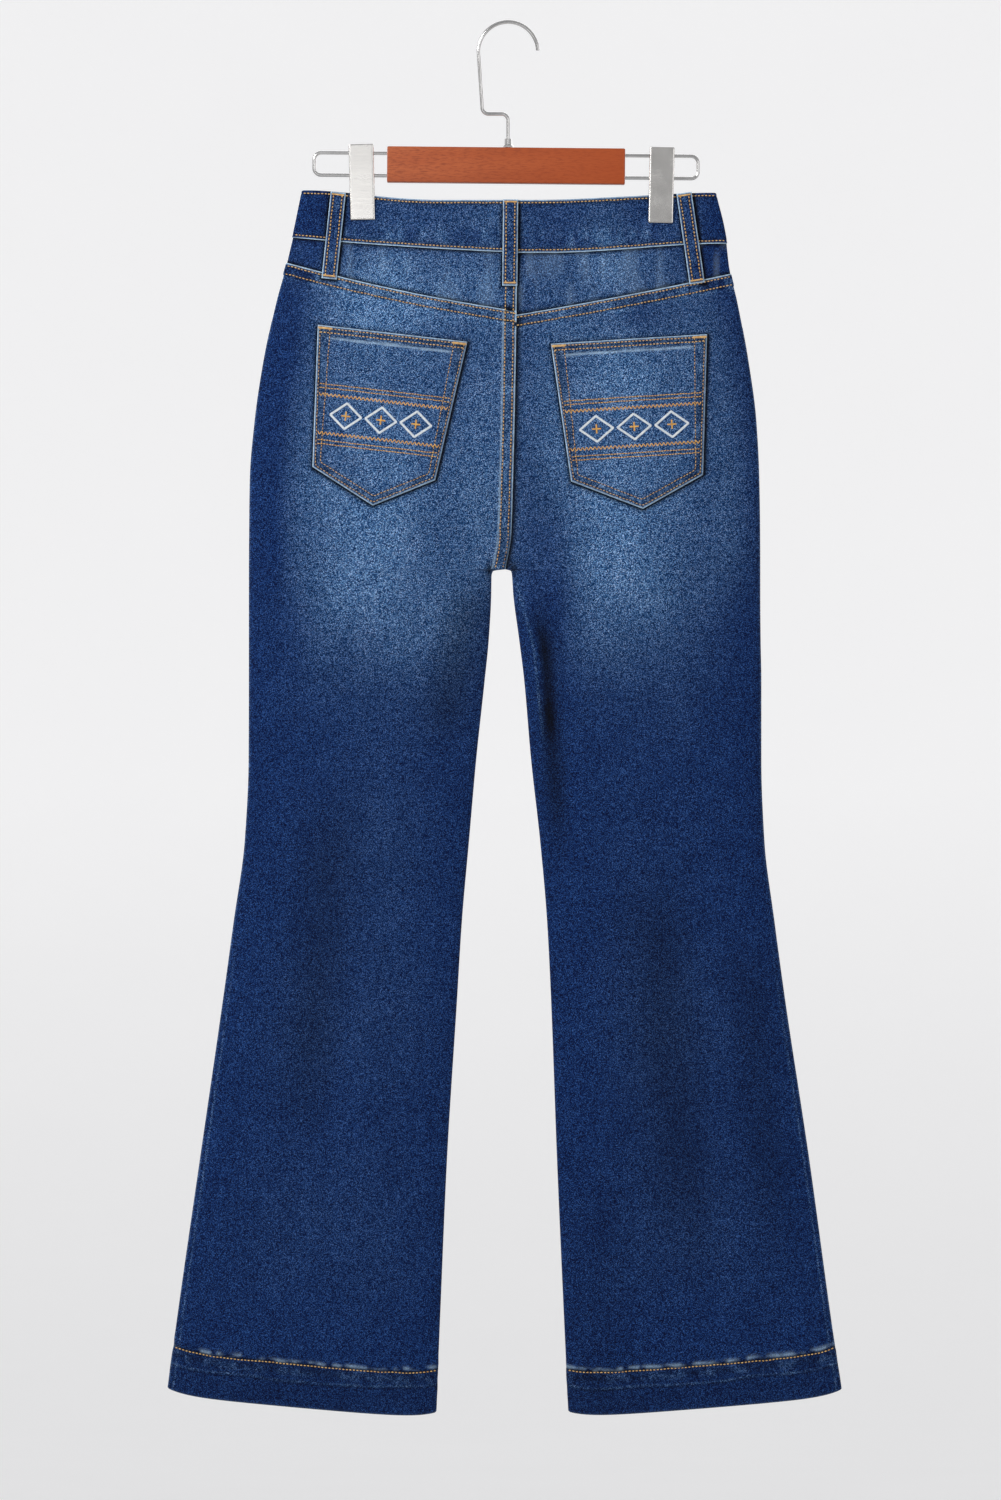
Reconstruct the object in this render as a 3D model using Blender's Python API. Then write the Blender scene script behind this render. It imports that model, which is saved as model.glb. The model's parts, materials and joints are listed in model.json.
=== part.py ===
"""Bootcut jeans hanging from a clip hanger, built as cut-and-sewn pieces round one open, flattened tube.

The frame is metres with +Z up. The origin is where a rail carries the hook, inside its top. The jeans' back
faces -Y and their front +Y, so the wearer's right is +X. Sizes below are in millimetres, and heights are given
as a drop: millimetres below the origin.
"""

import math
from collections import namedtuple

import bmesh
import bpy
import numpy as np

MM = 0.001

# ---------------------------------------------------------------- driving sizes

DENIM = 1.5  # wall of the leg panels and yokes
HEM_DENIM = 2.6  # wall where the hem is turned up
HEM_DEPTH = 38.0
BAND_OUT = 0.9  # the waistband stands this far proud of the panels
BAND_WALL = 2.6
PATCH_WALL = 1.1  # patch pockets and facings
SEAM_GAP = 0.3
FELL_WIDTH = 10.0  # the band of a felled seam, on its leg side
FELL_RAISE = 0.7
ROUNDING = 0.8  # under 1, a section is blunter at its folds than an ellipse

BACK, FRONT = -1, 1
LEFT, RIGHT = -1, 1

# Half sections of the hung garment. The folds are its outer edges, and the rise is the centre seam, which
# becomes each leg's inner fold below the crotch.
Section = namedtuple("Section", "drop left_fold right_fold left_rise right_rise half_depth")
SECTIONS = [
    Section(*row)
    for row in (
        (140, -175.8, 176.8, 7.0, 7.0, 8.0),  # above the waist
        (186, -185.5, 187.3, 7.7, 7.7, 10.2),  # waistband seam
        (210, -191.2, 190.3, 7.8, 7.8, 11.8),  # yoke at the side
        (238, -198.9, 196.9, 7.4, 7.4, 13.2),
        (289, -210.0, 206.4, 6.6, 6.6, 16.4),
        (341, -217.7, 213.3, 5.6, 5.6, 18.0),
        (392, -221.9, 215.9, 4.3, 4.3, 18.0),  # seat
        (440, -222.5, 216.6, 2.6, 2.6, 18.0),
        (469, -222.7, 216.7, -2.4, -2.4, 17.5),  # crotch
        (470.5, -222.7, 216.7, -12.8, 2.6, 17.4),  # the gap between the legs opens with a flat top
        (475, -222.7, 216.7, -14.2, 3.4, 17.3),
        (490, -222.7, 216.7, -14.4, 4.4, 17.0),
        (530, -222.7, 217.0, -16.6, 9.6, 16.8),
        (564, -222.7, 217.6, -20.0, 13.8, 16.4),
        (633, -222.9, 217.6, -27.4, 19.8, 15.5),
        (702, -226.2, 220.2, -33.5, 27.5, 14.6),  # knee
        (771, -235.6, 228.8, -39.6, 33.5, 14.0),
        (840, -245.1, 238.2, -43.9, 37.0, 13.6),
        (977, -264.9, 258.9, -52.5, 42.1, 13.2),
        (1115, -284.7, 277.8, -58.5, 48.2, 13.0),
        (1200, -296.0, 290.5, -62.0, 52.3, 13.0),  # hem
    )
]
CROTCH_DROP = 469.0
CROTCH_BLEND = 95.0  # over this height the one tube turns into two

# Seams that run across: their drop at the side fold and at the centre (or the inner fold), how far they bow
# below a straight line, and the share of the width over which an eased one reaches its centre height.
Seam = namedtuple("Seam", "side centre bow reach")
WAIST_TOP = {
    (BACK, LEFT): Seam(143.2, 151.8, 0.0, 0.65),
    (BACK, RIGHT): Seam(145.3, 151.8, 0.0, 0.90),
    (FRONT, LEFT): Seam(143.2, 160.0, 0.0, 1.0),
    (FRONT, RIGHT): Seam(145.3, 160.0, 0.0, 1.0),
}
WAIST_SEAM = {
    (BACK, LEFT): Seam(184.0, 197.4, 0.4, None),
    (BACK, RIGHT): Seam(189.2, 197.6, 0.0, 0.85),
    (FRONT, LEFT): Seam(184.0, 201.0, 0.3, None),
    (FRONT, RIGHT): Seam(189.2, 201.0, 0.3, None),
}
YOKE_SEAM = {
    (BACK, LEFT): Seam(205.5, 247.7, 0.25, None),
    (BACK, RIGHT): Seam(215.0, 251.0, 0.1, None),
}
HEM_EDGE = {
    (BACK, LEFT): Seam(1178.5, 1199.0, 0.1, None),
    (BACK, RIGHT): Seam(1179.5, 1198.5, 0.1, None),
    (FRONT, LEFT): Seam(1178.5, 1196.5, 0.1, None),
    (FRONT, RIGHT): Seam(1179.5, 1196.0, 0.1, None),
}
HEM_CORNER = 5.0  # the hem edge climbs this much as it turns a fold

# Soft folds of the hanging cloth: a ridge (+) or trough (-) along a line, given by its two ends.
Fold = namedtuple("Fold", "face x_top drop_top x_low drop_low width height")
FOLDS = [
    Fold(*row)
    for row in (
        (BACK, 8.0, 472.0, 36.0, 600.0, 7.0, 1.8),  # from the crotch down the right inner thigh
        (BACK, 28.0, 476.0, 46.0, 740.0, 10.0, -2.6),
        (BACK, -30.0, 470.0, -62.0, 640.0, 20.0, -1.6),
        (BACK, 60.0, 455.0, 120.0, 560.0, 26.0, 1.2),
        (BACK, -70.0, 455.0, -118.0, 545.0, 26.0, 1.0),
        (BACK, -150.0, 640.0, -175.0, 1000.0, 26.0, -1.4),
        (BACK, 120.0, 690.0, 160.0, 1120.0, 30.0, -1.6),
        (BACK, -105.0, 800.0, -140.0, 1150.0, 30.0, 1.2),
        (BACK, 205.0, 760.0, 232.0, 1100.0, 20.0, -1.2),
        (FRONT, -20.0, 470.0, -90.0, 560.0, 16.0, -2.2),
        (FRONT, 10.0, 470.0, 84.0, 565.0, 16.0, -2.4),
        (FRONT, -35.0, 500.0, -70.0, 720.0, 18.0, -2.0),
        (FRONT, 30.0, 500.0, 62.0, 700.0, 18.0, -1.8),
        (FRONT, -150.0, 700.0, -190.0, 1120.0, 28.0, -1.6),
        (FRONT, 130.0, 660.0, 170.0, 1060.0, 28.0, -1.6),
    )
]

# The two clips grip the waistband here.
CLIP_X = {LEFT: -126.4, RIGHT: 132.6}
CLIP_FLAT = 13.0  # half the width that a clip presses flat
CLIP_SPREAD = 26.0  # beyond that the waist opens over this width
CLIP_HALF_DEPTH = 1.6
CLIP_FADE_TOP, CLIP_FADE_LOW = 166.0, 206.0  # between these drops the pinch dies out


# ---------------------------------------------------------------- the garment's surface


def ease(t):
    """0 to 1 with level ends."""
    t = np.clip(t, 0.0, 1.0)
    return t * t * (3.0 - 2.0 * t)


def through(x, xs, ys):
    """A smooth curve through the points (xs, ys) that never overshoots them, read at x."""
    xs, ys = np.asarray(xs, float), np.asarray(ys, float)
    step = np.diff(xs)
    slope = np.diff(ys) / step
    tangent = np.concatenate([slope[:1], np.zeros(len(xs) - 2), slope[-1:]])
    same = slope[:-1] * slope[1:] > 0
    pair = slope[:-1] + slope[1:]
    tangent[1:-1][same] = 2.0 * slope[:-1][same] * slope[1:][same] / pair[same]
    x = np.clip(x, xs[0], xs[-1])
    k = np.clip(np.searchsorted(xs, x) - 1, 0, len(step) - 1)
    t = (x - xs[k]) / step[k]
    return (
        ys[k] * (1 + 2 * t) * (1 - t) ** 2
        + ys[k + 1] * t * t * (3 - 2 * t)
        + step[k] * (tangent[k] * t * (1 - t) ** 2 - tangent[k + 1] * t * t * (1 - t))
    )


def column(name, drop, rows=SECTIONS):
    """One column of SECTIONS at this drop."""
    return through(drop, [row.drop for row in rows], [getattr(row, name) for row in rows])


def fold_x(side, drop):
    return column("left_fold" if side == LEFT else "right_fold", drop)


ABOVE_CROTCH = [row for row in SECTIONS if row.drop <= CROTCH_DROP]
BELOW_CROTCH = [row for row in SECTIONS if row.drop >= CROTCH_DROP]


def rise_x(side, drop):
    """The centre seam, or below the crotch this leg's inner fold."""
    name = "left_rise" if side == LEFT else "right_rise"
    above = column(name, drop, ABOVE_CROTCH)
    return np.where(np.asarray(drop) <= CROTCH_DROP, above, column(name, drop, BELOW_CROTCH))


def legness(drop):
    """0 where a section is half of one tube, 1 where it is a leg of its own."""
    return ease((drop - CROTCH_DROP + CROTCH_BLEND) / CROTCH_BLEND)


def share_across(q, drop):
    """How far across its half a column lies, 0 at the side fold and 1 at the centre. Columns crowd at folds."""
    c = np.cos(q * math.pi / 2)
    w = legness(drop)
    return 1.0 - (1.0 - w) * c - w * c * c


def roundness(share, drop):
    """The section's half depth at this share of its width, over its greatest half depth."""
    w = legness(drop)
    toward = np.clip(1.0 - share, -1.0, 1.0)
    root = np.sqrt((1.0 - w) ** 2 + 4.0 * w * np.maximum(toward, 0.0))
    c = np.where(w > 1e-6, (root - (1.0 - w)) / np.maximum(2.0 * w, 1e-6), toward)
    c = np.clip(c, -1.0, 1.0)
    tube = np.sqrt(np.maximum(1.0 - c * c, 0.0))
    leg = 2.0 * np.abs(c) * tube
    return (1.0 - w) * tube**ROUNDING + w * leg**ROUNDING


def pinch(x, drop):
    """1 where a clip presses the waist flat, 0 away from the clips."""
    held = 0.0
    for clip in CLIP_X.values():
        away = np.maximum(np.abs(x - clip) - CLIP_FLAT, 0.0) / CLIP_SPREAD
        held = np.maximum(held, np.exp(-away * away))
    return held * (1.0 - ease((drop - CLIP_FADE_TOP) / (CLIP_FADE_LOW - CLIP_FADE_TOP)))


def folds(x, drop, face):
    """How far the soft folds push the cloth outwards here."""
    push = 0.0
    for fold in FOLDS:
        if fold.face != face:
            continue
        along = (drop - fold.drop_top) / (fold.drop_low - fold.drop_top)
        line = fold.x_top + (fold.x_low - fold.x_top) * np.clip(along, 0, 1)
        ends = ease(along / 0.25) * ease((1.0 - along) / 0.35)
        push = push + fold.height * ends * np.exp(-(((x - line) / fold.width) ** 2))
    return push


def surface(side, face, share, drop, out=0.0, gap=SEAM_GAP / 2):
    """The point at this share of the half's width and this drop, moved out from the panels' outer face.

    gap is how far short of the folds' plane this face stops, and out is negative inside the wall. At a fold
    the move is sideways, and between folds it is towards -Y at the back and +Y at the front.
    """
    share, drop = np.broadcast_arrays(np.asarray(share, float), np.asarray(drop, float))
    rounded = roundness(share, drop)
    outer, inner = fold_x(side, drop), rise_x(side, drop)
    x = outer + (inner - outer) * share
    half = column("half_depth", drop) * rounded
    flat = np.minimum(half, CLIP_HALF_DEPTH)
    half = half + (flat - half) * pinch(x, drop)
    half = half + folds(x, drop, face) * rounded
    y = face * (gap + half + out * rounded)
    # out moves the side fold outwards, and below the crotch the inner fold too.
    x = x + side * out * (1.0 - share) ** 3 - side * out * legness(drop) * share**3
    return np.stack([x, y, -drop], axis=-1)


def share_at(side, x, drop):
    outer, inner = fold_x(side, drop), rise_x(side, drop)
    return (x - outer) / (inner - outer)


def surface_at(face, x, drop, out=0.0):
    """The point of this face at a given x and drop, on whichever half holds it."""
    x, drop = np.broadcast_arrays(np.asarray(x, float), np.asarray(drop, float))
    on_left = x < 0.5 * (rise_x(LEFT, drop) + rise_x(RIGHT, drop))
    left = surface(LEFT, face, share_at(LEFT, x, drop), drop, out)
    right = surface(RIGHT, face, share_at(RIGHT, x, drop), drop, out)
    point = np.where(on_left[..., None], left, right)
    point[..., 0] = x
    return point


def seam_drop(seam, share):
    if seam.reach:
        return seam.side + (seam.centre - seam.side) * ease(share / seam.reach)
    return seam.side + (seam.centre - seam.side) * (share + seam.bow * share * (1.0 - share))


def hem_drop(face, side, share):
    corner = HEM_CORNER * ((1.0 - share) ** 14 + share**14)
    return seam_drop(HEM_EDGE[face, side], share) - corner


# ---------------------------------------------------------------- making objects


def material(name, colour, roughness, metallic=0.0):
    made = bpy.data.materials.new(name)
    made.use_nodes = True
    shader = made.node_tree.nodes["Principled BSDF"]
    shader.inputs["Base Color"].default_value = (*colour, 1.0)
    shader.inputs["Roughness"].default_value = roughness
    shader.inputs["Metallic"].default_value = metallic
    return made


def add_mesh(name, points, faces, finish, smooth=True):
    """A closed object from points in millimetres, with its faces turned outwards."""
    mesh = bpy.data.meshes.new(name)
    mesh.from_pydata([tuple(p) for p in np.asarray(points) * MM], [], faces)
    work = bmesh.new()
    work.from_mesh(mesh)
    bmesh.ops.recalc_face_normals(work, faces=work.faces)
    if work.calc_volume(signed=True) < 0:
        bmesh.ops.reverse_faces(work, faces=work.faces)
    work.to_mesh(mesh)
    work.free()
    if smooth:
        mesh.shade_smooth()
        mesh.set_sharp_from_angle(angle=math.radians(40))
    mesh.materials.append(finish)
    made = bpy.data.objects.new(name, mesh)
    bpy.context.scene.collection.objects.link(made)
    return made


def grid_faces(rows, columns, first=0):
    return [
        (
            first + r * columns + c,
            first + r * columns + c + 1,
            first + (r + 1) * columns + c + 1,
            first + (r + 1) * columns + c,
        )
        for r in range(rows - 1)
        for c in range(columns - 1)
    ]


def wall(name, outer, inner, finish):
    """A closed wall between two grids of points, each rows by columns by 3."""
    rows, columns = outer.shape[:2]
    count = rows * columns
    faces = grid_faces(rows, columns)
    faces += [face[::-1] for face in grid_faces(rows, columns, count)]
    edge = [r * columns for r in range(rows)]
    edge += [(rows - 1) * columns + c for c in range(1, columns)]
    edge += [r * columns + columns - 1 for r in range(rows - 2, -1, -1)]
    edge += list(range(columns - 2, 0, -1))
    for here, there in zip(edge, edge[1:] + edge[:1]):
        faces.append((here, there, there + count, here + count))
    points = np.concatenate([outer.reshape(-1, 3), inner.reshape(-1, 3)])
    return add_mesh(name, points, faces, finish)


def turned(name, profile, sides, finish):
    """A solid turned about local Z from a closed profile of (radius, height) points in millimetres."""
    angles = [2 * math.pi * k / sides for k in range(sides)]
    points, rings = [], []
    for radius, height in profile:
        if radius == 0:
            rings.append([len(points)] * sides)
            points.append((0.0, 0.0, height))
            continue
        rings.append(list(range(len(points), len(points) + sides)))
        points += [(radius * math.cos(a), radius * math.sin(a), height) for a in angles]
    hollow = all(radius > 0 for radius, _ in profile)
    faces = []
    for a, b in zip(rings, rings[1:] + (rings[:1] if hollow else [])):
        for k in range(sides):
            n = (k + 1) % sides
            loop = list(dict.fromkeys([a[k], a[n], b[n], b[k]]))
            if len(loop) > 2:
                faces.append(tuple(loop))
    return add_mesh(name, points, faces, finish)


def wire(name, path, diameter, finish):
    """A round wire along a path of points in millimetres, with flat ends."""
    curve = bpy.data.curves.new(name, "CURVE")
    curve.dimensions = "3D"
    curve.bevel_depth = diameter / 2 * MM
    curve.bevel_resolution = WIRE_ROUNDING
    curve.use_fill_caps = True
    spline = curve.splines.new("POLY")
    spline.points.add(len(path) - 1)
    for point, place in zip(spline.points, path):
        point.co = (*(np.asarray(place) * MM), 1.0)
    curve.materials.append(finish)
    made = bpy.data.objects.new(name, curve)
    bpy.context.scene.collection.objects.link(made)
    return made


def arc(centre, radius, start, end, steps):
    """Points in the XZ plane round a centre (x, z), from one angle to another in degrees."""
    angles = np.radians(np.linspace(start, end, steps))
    return [(centre[0] + radius * math.cos(a), 0.0, centre[1] + radius * math.sin(a)) for a in angles]


# ---------------------------------------------------------------- leg panels, yokes and waistband

LEG_COLUMNS, YOKE_COLUMNS = 14, 18
ROWS_ABOVE, ROWS_BELOW = 7, 14  # between the top seam's rows, the crotch's and the hem's
CROTCH_ROWS = (440.0, 456.0, 463.0, CROTCH_DROP, 470.5, 475.0, 482.0, 490.0)
FELL_ROWS = (0.0, 1.0, 1.18)  # shares of the felled seam's width
HEM_ROWS = (1.0, 0.5, 0.0)  # shares of the hem's depth
HEM_START = 1.08
UPPER_DROP = 200.0  # the columns of the yokes and the pocket facings are spread as at this drop
SCOOP_SHARE = 0.52  # the front pocket mouth meets the waist seam at this share of the half
SCOOP_DROP = 72.0  # and the side seam this far below the waist seam


def scoop_drop(share):
    """How far below the waist seam the scooped pocket mouth lies."""
    t = np.clip(share / SCOOP_SHARE, 0.0, 1.0)
    return SCOOP_DROP * np.sqrt(1.0 - t**2)


def leg_panel(face, side, finish):
    """One leg panel from its top seam to the hem, with the felled seam raised and the hem turned up."""
    name = f"{'back' if face == BACK else 'front'}_leg_{'left' if side == LEFT else 'right'}"
    q = np.linspace(0.0, 1.0, LEG_COLUMNS + 1)
    if face == FRONT:
        # One column ends on the scooped mouth's inner corner.
        corner = math.acos(1.0 - SCOOP_SHARE) / (math.pi / 2)
        q[np.argmin(abs(q - corner))] = corner
    top_share = 1.0 - np.cos(q * math.pi / 2)
    if face == BACK:
        top = seam_drop(YOKE_SEAM[face, side], top_share) + SEAM_GAP / 2
    else:
        top = seam_drop(WAIST_SEAM[face, side], top_share) + scoop_drop(top_share) + SEAM_GAP / 2
    low = hem_drop(face, side, share_across(q, SECTIONS[-1].drop))
    # The first rows follow the top seam and the last ones the hem, at even distances from them.
    rows = []
    for t in FELL_ROWS:
        rows.append((top + FELL_WIDTH * t, FELL_RAISE if t <= 1.0 and face == BACK else 0.0, DENIM))
    start, end = top + FELL_WIDTH * FELL_ROWS[-1], low - HEM_DEPTH * HEM_START
    for t in np.linspace(0.0, 1.0, ROWS_ABOVE + 2)[1:-1]:
        rows.append((start + (CROTCH_ROWS[0] - start) * t, 0.0, DENIM))
    for drop in CROTCH_ROWS:
        rows.append((np.full_like(top, drop), 0.0, DENIM))
    for t in np.linspace(0.0, 1.0, ROWS_BELOW + 1)[1:]:
        rows.append((CROTCH_ROWS[-1] + (end - CROTCH_ROWS[-1]) * t, 0.0, DENIM))
    for t in HEM_ROWS:
        rows.append((low - HEM_DEPTH * t, 0.0, HEM_DENIM))
    outer, inner = [], []
    for drop, raised, thickness in rows:
        across = share_across(q, drop)
        outer.append(surface(side, face, across, drop, raised))
        inner.append(surface(side, face, across, drop, -thickness))
    outer, inner = np.array(outer), np.array(inner)
    for grid in (outer, inner):
        trim_rise(grid, side)
    return wall(name, outer, inner, finish)


def trim_rise(grid, side):
    """Keeps the last column half a seam gap short of the centre seam."""
    grid[:, -1, 0] += side * SEAM_GAP / 2


def yoke(side, finish):
    share = share_across(np.linspace(0.0, 1.0, YOKE_COLUMNS + 1), UPPER_DROP)
    top = seam_drop(WAIST_SEAM[BACK, side], share) + SEAM_GAP / 2
    low = seam_drop(YOKE_SEAM[BACK, side], share) - SEAM_GAP / 2
    outer, inner = [], []
    for t in np.linspace(0.0, 1.0, 4):
        drop = top + (low - top) * t
        outer.append(surface(side, BACK, share, drop))
        inner.append(surface(side, BACK, share, drop, -DENIM))
    outer, inner = np.array(outer), np.array(inner)
    for grid in (outer, inner):
        trim_rise(grid, side)
    return wall(f"yoke_{'left' if side == LEFT else 'right'}", outer, inner, finish)


UNDERLAP = 22.0  # the right end runs this far past the centre, under the left
OVERLAP = 18.0  # and the left end this far, over the right
LAP_OUT = 1.06 * (BAND_WALL + SEAM_GAP)  # the left end stands this far further out
LAP_START, LAP_RAMP = 0.76, 0.14  # it climbs over these shares of the front's columns
BAND_MIDDLE = 172.0  # the waistband's columns are spread as at this drop


def lap_out(face, side, q):
    """How far the waistband's left end stands out to clear the right end below it."""
    if face == BACK or side == RIGHT:
        return np.zeros_like(q)
    return LAP_OUT * ease((q - LAP_START) / LAP_RAMP)


def seam_past_centre(seams, face, side, share):
    """A seam's drop, which past the centre is that of the other half."""
    here = seam_drop(seams[face, side], np.minimum(share, 1.0))
    there = seam_drop(seams[face, -side], np.minimum(2.0 - share, 1.0))
    return np.where(share > 1.0, there, here)


def past_centre(length, side, drop):
    """The column that lies this far past the centre seam."""
    width = abs(fold_x(side, drop) - rise_x(side, drop))
    return math.acos(-length / width) / (math.pi / 2)


def waistband(finish):
    """One strip from the right front end, round the back, to the left front end."""
    legs = [
        (FRONT, RIGHT, np.linspace(past_centre(UNDERLAP, RIGHT, BAND_MIDDLE), 0.0, 15)),
        (BACK, RIGHT, np.linspace(0.0, 1.0, 13)[1:]),
        (BACK, LEFT, np.linspace(1.0, 0.0, 13)[1:]),
        (FRONT, LEFT, np.linspace(0.0, past_centre(OVERLAP, LEFT, BAND_MIDDLE), 18)[1:]),
    ]
    outer, inner = [], []
    for t in (0.0, 0.34, 0.67, 1.0):
        outer_row, inner_row = [], []
        for face, side, q in legs:
            share = share_across(q, BAND_MIDDLE)
            top = seam_past_centre(WAIST_TOP, face, side, share)
            low = seam_past_centre(WAIST_SEAM, face, side, share) - SEAM_GAP / 2
            drop = top + (low - top) * t
            lap = lap_out(face, side, q)
            outer_row.append(surface(side, face, share, drop, BAND_OUT + lap, gap=0.0))
            inner_row.append(surface(side, face, share, drop, BAND_OUT - BAND_WALL + lap, gap=0.0))
        outer.append(np.concatenate(outer_row))
        inner.append(np.concatenate(inner_row))
    return wall("waistband", np.array(outer), np.array(inner), finish)


# ---------------------------------------------------------------- pieces that lie on a panel

# Patch pocket corners as (x, drop): top outer, top inner, low inner, tip, low outer.
Pocket = namedtuple("Pocket", "top_outer top_inner low_inner tip low_outer")
POCKETS = {
    LEFT: Pocket((-163.4, 259.2), (-34.9, 274.2), (-62.5, 392.9), (-116.1, 414.7), (-168.0, 381.3)),
    RIGHT: Pocket((170.9, 267.3), (36.7, 275.9), (54.0, 394.0), (115.7, 417.5), (167.4, 388.2)),
}


def mix(a, b, t):
    return (1.0 - t) * np.asarray(a, float) + t * np.asarray(b, float)


def tip_share(shape):
    """How far across a pointed pocket its tip lies, from its outer side."""
    return abs(shape.tip[0] - shape.low_outer[0]) / abs(shape.low_inner[0] - shape.low_outer[0])


def pocket_point(shape, u, v):
    """The (x, drop) at u across from the outer side and v down from the hem of a pointed pocket."""
    tip = tip_share(shape)
    if u < tip:
        low = mix(shape.low_outer, shape.tip, u / tip)
    else:
        low = mix(shape.tip, shape.low_inner, (u - tip) / (1.0 - tip))
    return mix(mix(shape.top_outer, shape.top_inner, u), low, v)


PATCH_LIFT = SEAM_GAP * 1.3  # between a panel and what lies on it


def back_pocket(side, finish):
    shape = POCKETS[side]
    tip = tip_share(shape)
    across = np.unique(np.concatenate([np.linspace(0, tip, 6), np.linspace(tip, 1, 6)]))
    flat = np.array([[pocket_point(shape, u, v) for u in across] for v in np.linspace(0, 1, 10)])
    outer = surface_at(BACK, flat[..., 0], flat[..., 1], PATCH_LIFT + PATCH_WALL)
    inner = surface_at(BACK, flat[..., 0], flat[..., 1], PATCH_LIFT)
    return wall(f"back_pocket_{'left' if side == LEFT else 'right'}", outer, inner, finish)


FACING_WALL = 1.2
POCKET_SLACK = 1.0  # a facing hangs this far behind its panel
FACING_PAST = 0.07  # it runs on past the scooped mouth by this share of the half
FACING_BELOW = 13.0  # and this far below it
FACING_CURVE = 0.86  # its low edge is this much flatter than the mouth


def pocket_facing(side, finish):
    """The denim behind a scooped mouth, one wall further in than the front panel."""
    q = np.linspace(0.0, math.acos(1.0 - SCOOP_SHARE - FACING_PAST) / (math.pi / 2), 10)
    share = share_across(q, UPPER_DROP)
    seam = WAIST_SEAM[FRONT, side]
    top = seam_drop(seam, share) + SEAM_GAP / 2
    low = seam_drop(seam, share) + scoop_drop(share * FACING_CURVE) + FACING_BELOW
    out = -(DENIM + POCKET_SLACK)
    outer, inner = [], []
    for t in np.linspace(0.0, 1.0, 8):
        drop = top + (low - top) * t
        outer.append(surface(side, FRONT, share, drop, out))
        inner.append(surface(side, FRONT, share, drop, out - FACING_WALL))
    name = f"pocket_facing_{'left' if side == LEFT else 'right'}"
    return wall(name, np.array(outer), np.array(inner), finish)


FLY_LEFT, FLY_RIGHT = -31.0, 13.0  # the lap's edges across
FLY_LONG, FLY_SHORT = 152.0, 106.0  # its length at the centre and at its curved side
ZIP_HALF, ZIP_LONG, ZIP_WALL = 13.0, 128.0, 1.4
ZIP_START = 2.0  # below the waistband's seam


def fly_lap(finish):
    u = np.linspace(0.0, 1.0, 8)
    x = FLY_LEFT + (FLY_RIGHT - FLY_LEFT) * u
    top = WAIST_SEAM[FRONT, LEFT].centre + SEAM_GAP
    length = FLY_SHORT + (FLY_LONG - FLY_SHORT) * np.sqrt(1.0 - (1.0 - u) ** 2)
    drop = top + np.linspace(0.0, 1.0, 12)[:, None] * length
    x = np.broadcast_to(x, drop.shape)
    return wall(
        "fly_lap",
        surface_at(FRONT, x, drop, PATCH_LIFT + PATCH_WALL),
        surface_at(FRONT, x, drop, PATCH_LIFT),
        finish,
    )


def fly_zip(finish):
    x = rise_x(LEFT, UPPER_DROP) + np.linspace(-ZIP_HALF, ZIP_HALF, 6)
    top = WAIST_SEAM[FRONT, LEFT].centre + ZIP_START
    drop = top + np.linspace(0.0, ZIP_LONG, 10)[:, None]
    x, drop = np.broadcast_arrays(x, drop)
    out = -(DENIM + SEAM_GAP * 1.5)
    return wall(
        "fly_zip",
        surface_at(FRONT, x, drop, out),
        surface_at(FRONT, x, drop, out - ZIP_WALL),
        finish,
    )


# Belt loops: their middles at the top and low ends as (x, drop).
# low_lift clears the felled seam that the low end of some crosses.
Loop = namedtuple("Loop", "face x_top drop_top x_low drop_low low_lift")
LOOPS = {
    "back_left": Loop(BACK, -145.9, 144.9, -153.4, 217.5, 1.0),
    "back_centre": Loop(BACK, 2.2, 151.6, 1.5, 223.6, 0.0),
    "back_right": Loop(BACK, 151.2, 145.4, 162.4, 223.6, 1.0),
    "front_left": Loop(FRONT, -83.0, 153.5, -85.0, 221.0, 0.2),
    "front_right": Loop(FRONT, 84.0, 154.5, 86.0, 222.0, 0.2),
}
LOOP_WIDTH = 13.0
LOOP_WALL = 1.7
LOOP_SLACK = 2.2  # it bows this far off the band, so a belt can pass
LOOP_LIFT = SEAM_GAP * 1.4
LOOP_BELOW = 28.0  # this much of a loop lies below the waistband
LOOP_ROWS = (0.0, 0.06, 0.14, 0.26, 0.4, 0.52, 0.62, 0.7, 0.78, 0.88, 1.0)


def belt_loop(name, finish):
    loop = LOOPS[name]
    across = np.array([-0.5, 0.0, 0.5]) * LOOP_WIDTH
    length = loop.drop_low - loop.drop_top
    band = 1.0 - LOOP_BELOW / length  # above this share it lies over the waistband
    lean = (loop.x_low - loop.x_top) / length
    outer, inner = [], []
    for t in LOOP_ROWS:
        x = loop.x_top + (loop.x_low - loop.x_top) * t + across
        drop = np.full(3, loop.drop_top + length * t)
        rest = LOOP_LIFT + BAND_OUT * (1.0 - ease((t - band - 0.04) / 0.14))
        rest += loop.low_lift * ease((t - 0.72) / 0.16)
        slack = LOOP_SLACK * ease(t / 0.25) * ease((0.86 - t) / 0.3)
        below, above = rest + slack, rest + slack + LOOP_WALL
        for rows, out in ((inner, below), (outer, above)):
            row = surface_at(loop.face, x, drop, out)
            row[:, 2] += across * lean
            rows.append(row)
    return wall(f"belt_loop_{name}", np.array(outer), np.array(inner), finish)


BUTTON_RADIUS = 8.5
BUTTON_X, BUTTON_DROP = 7.0, 180.0


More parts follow.
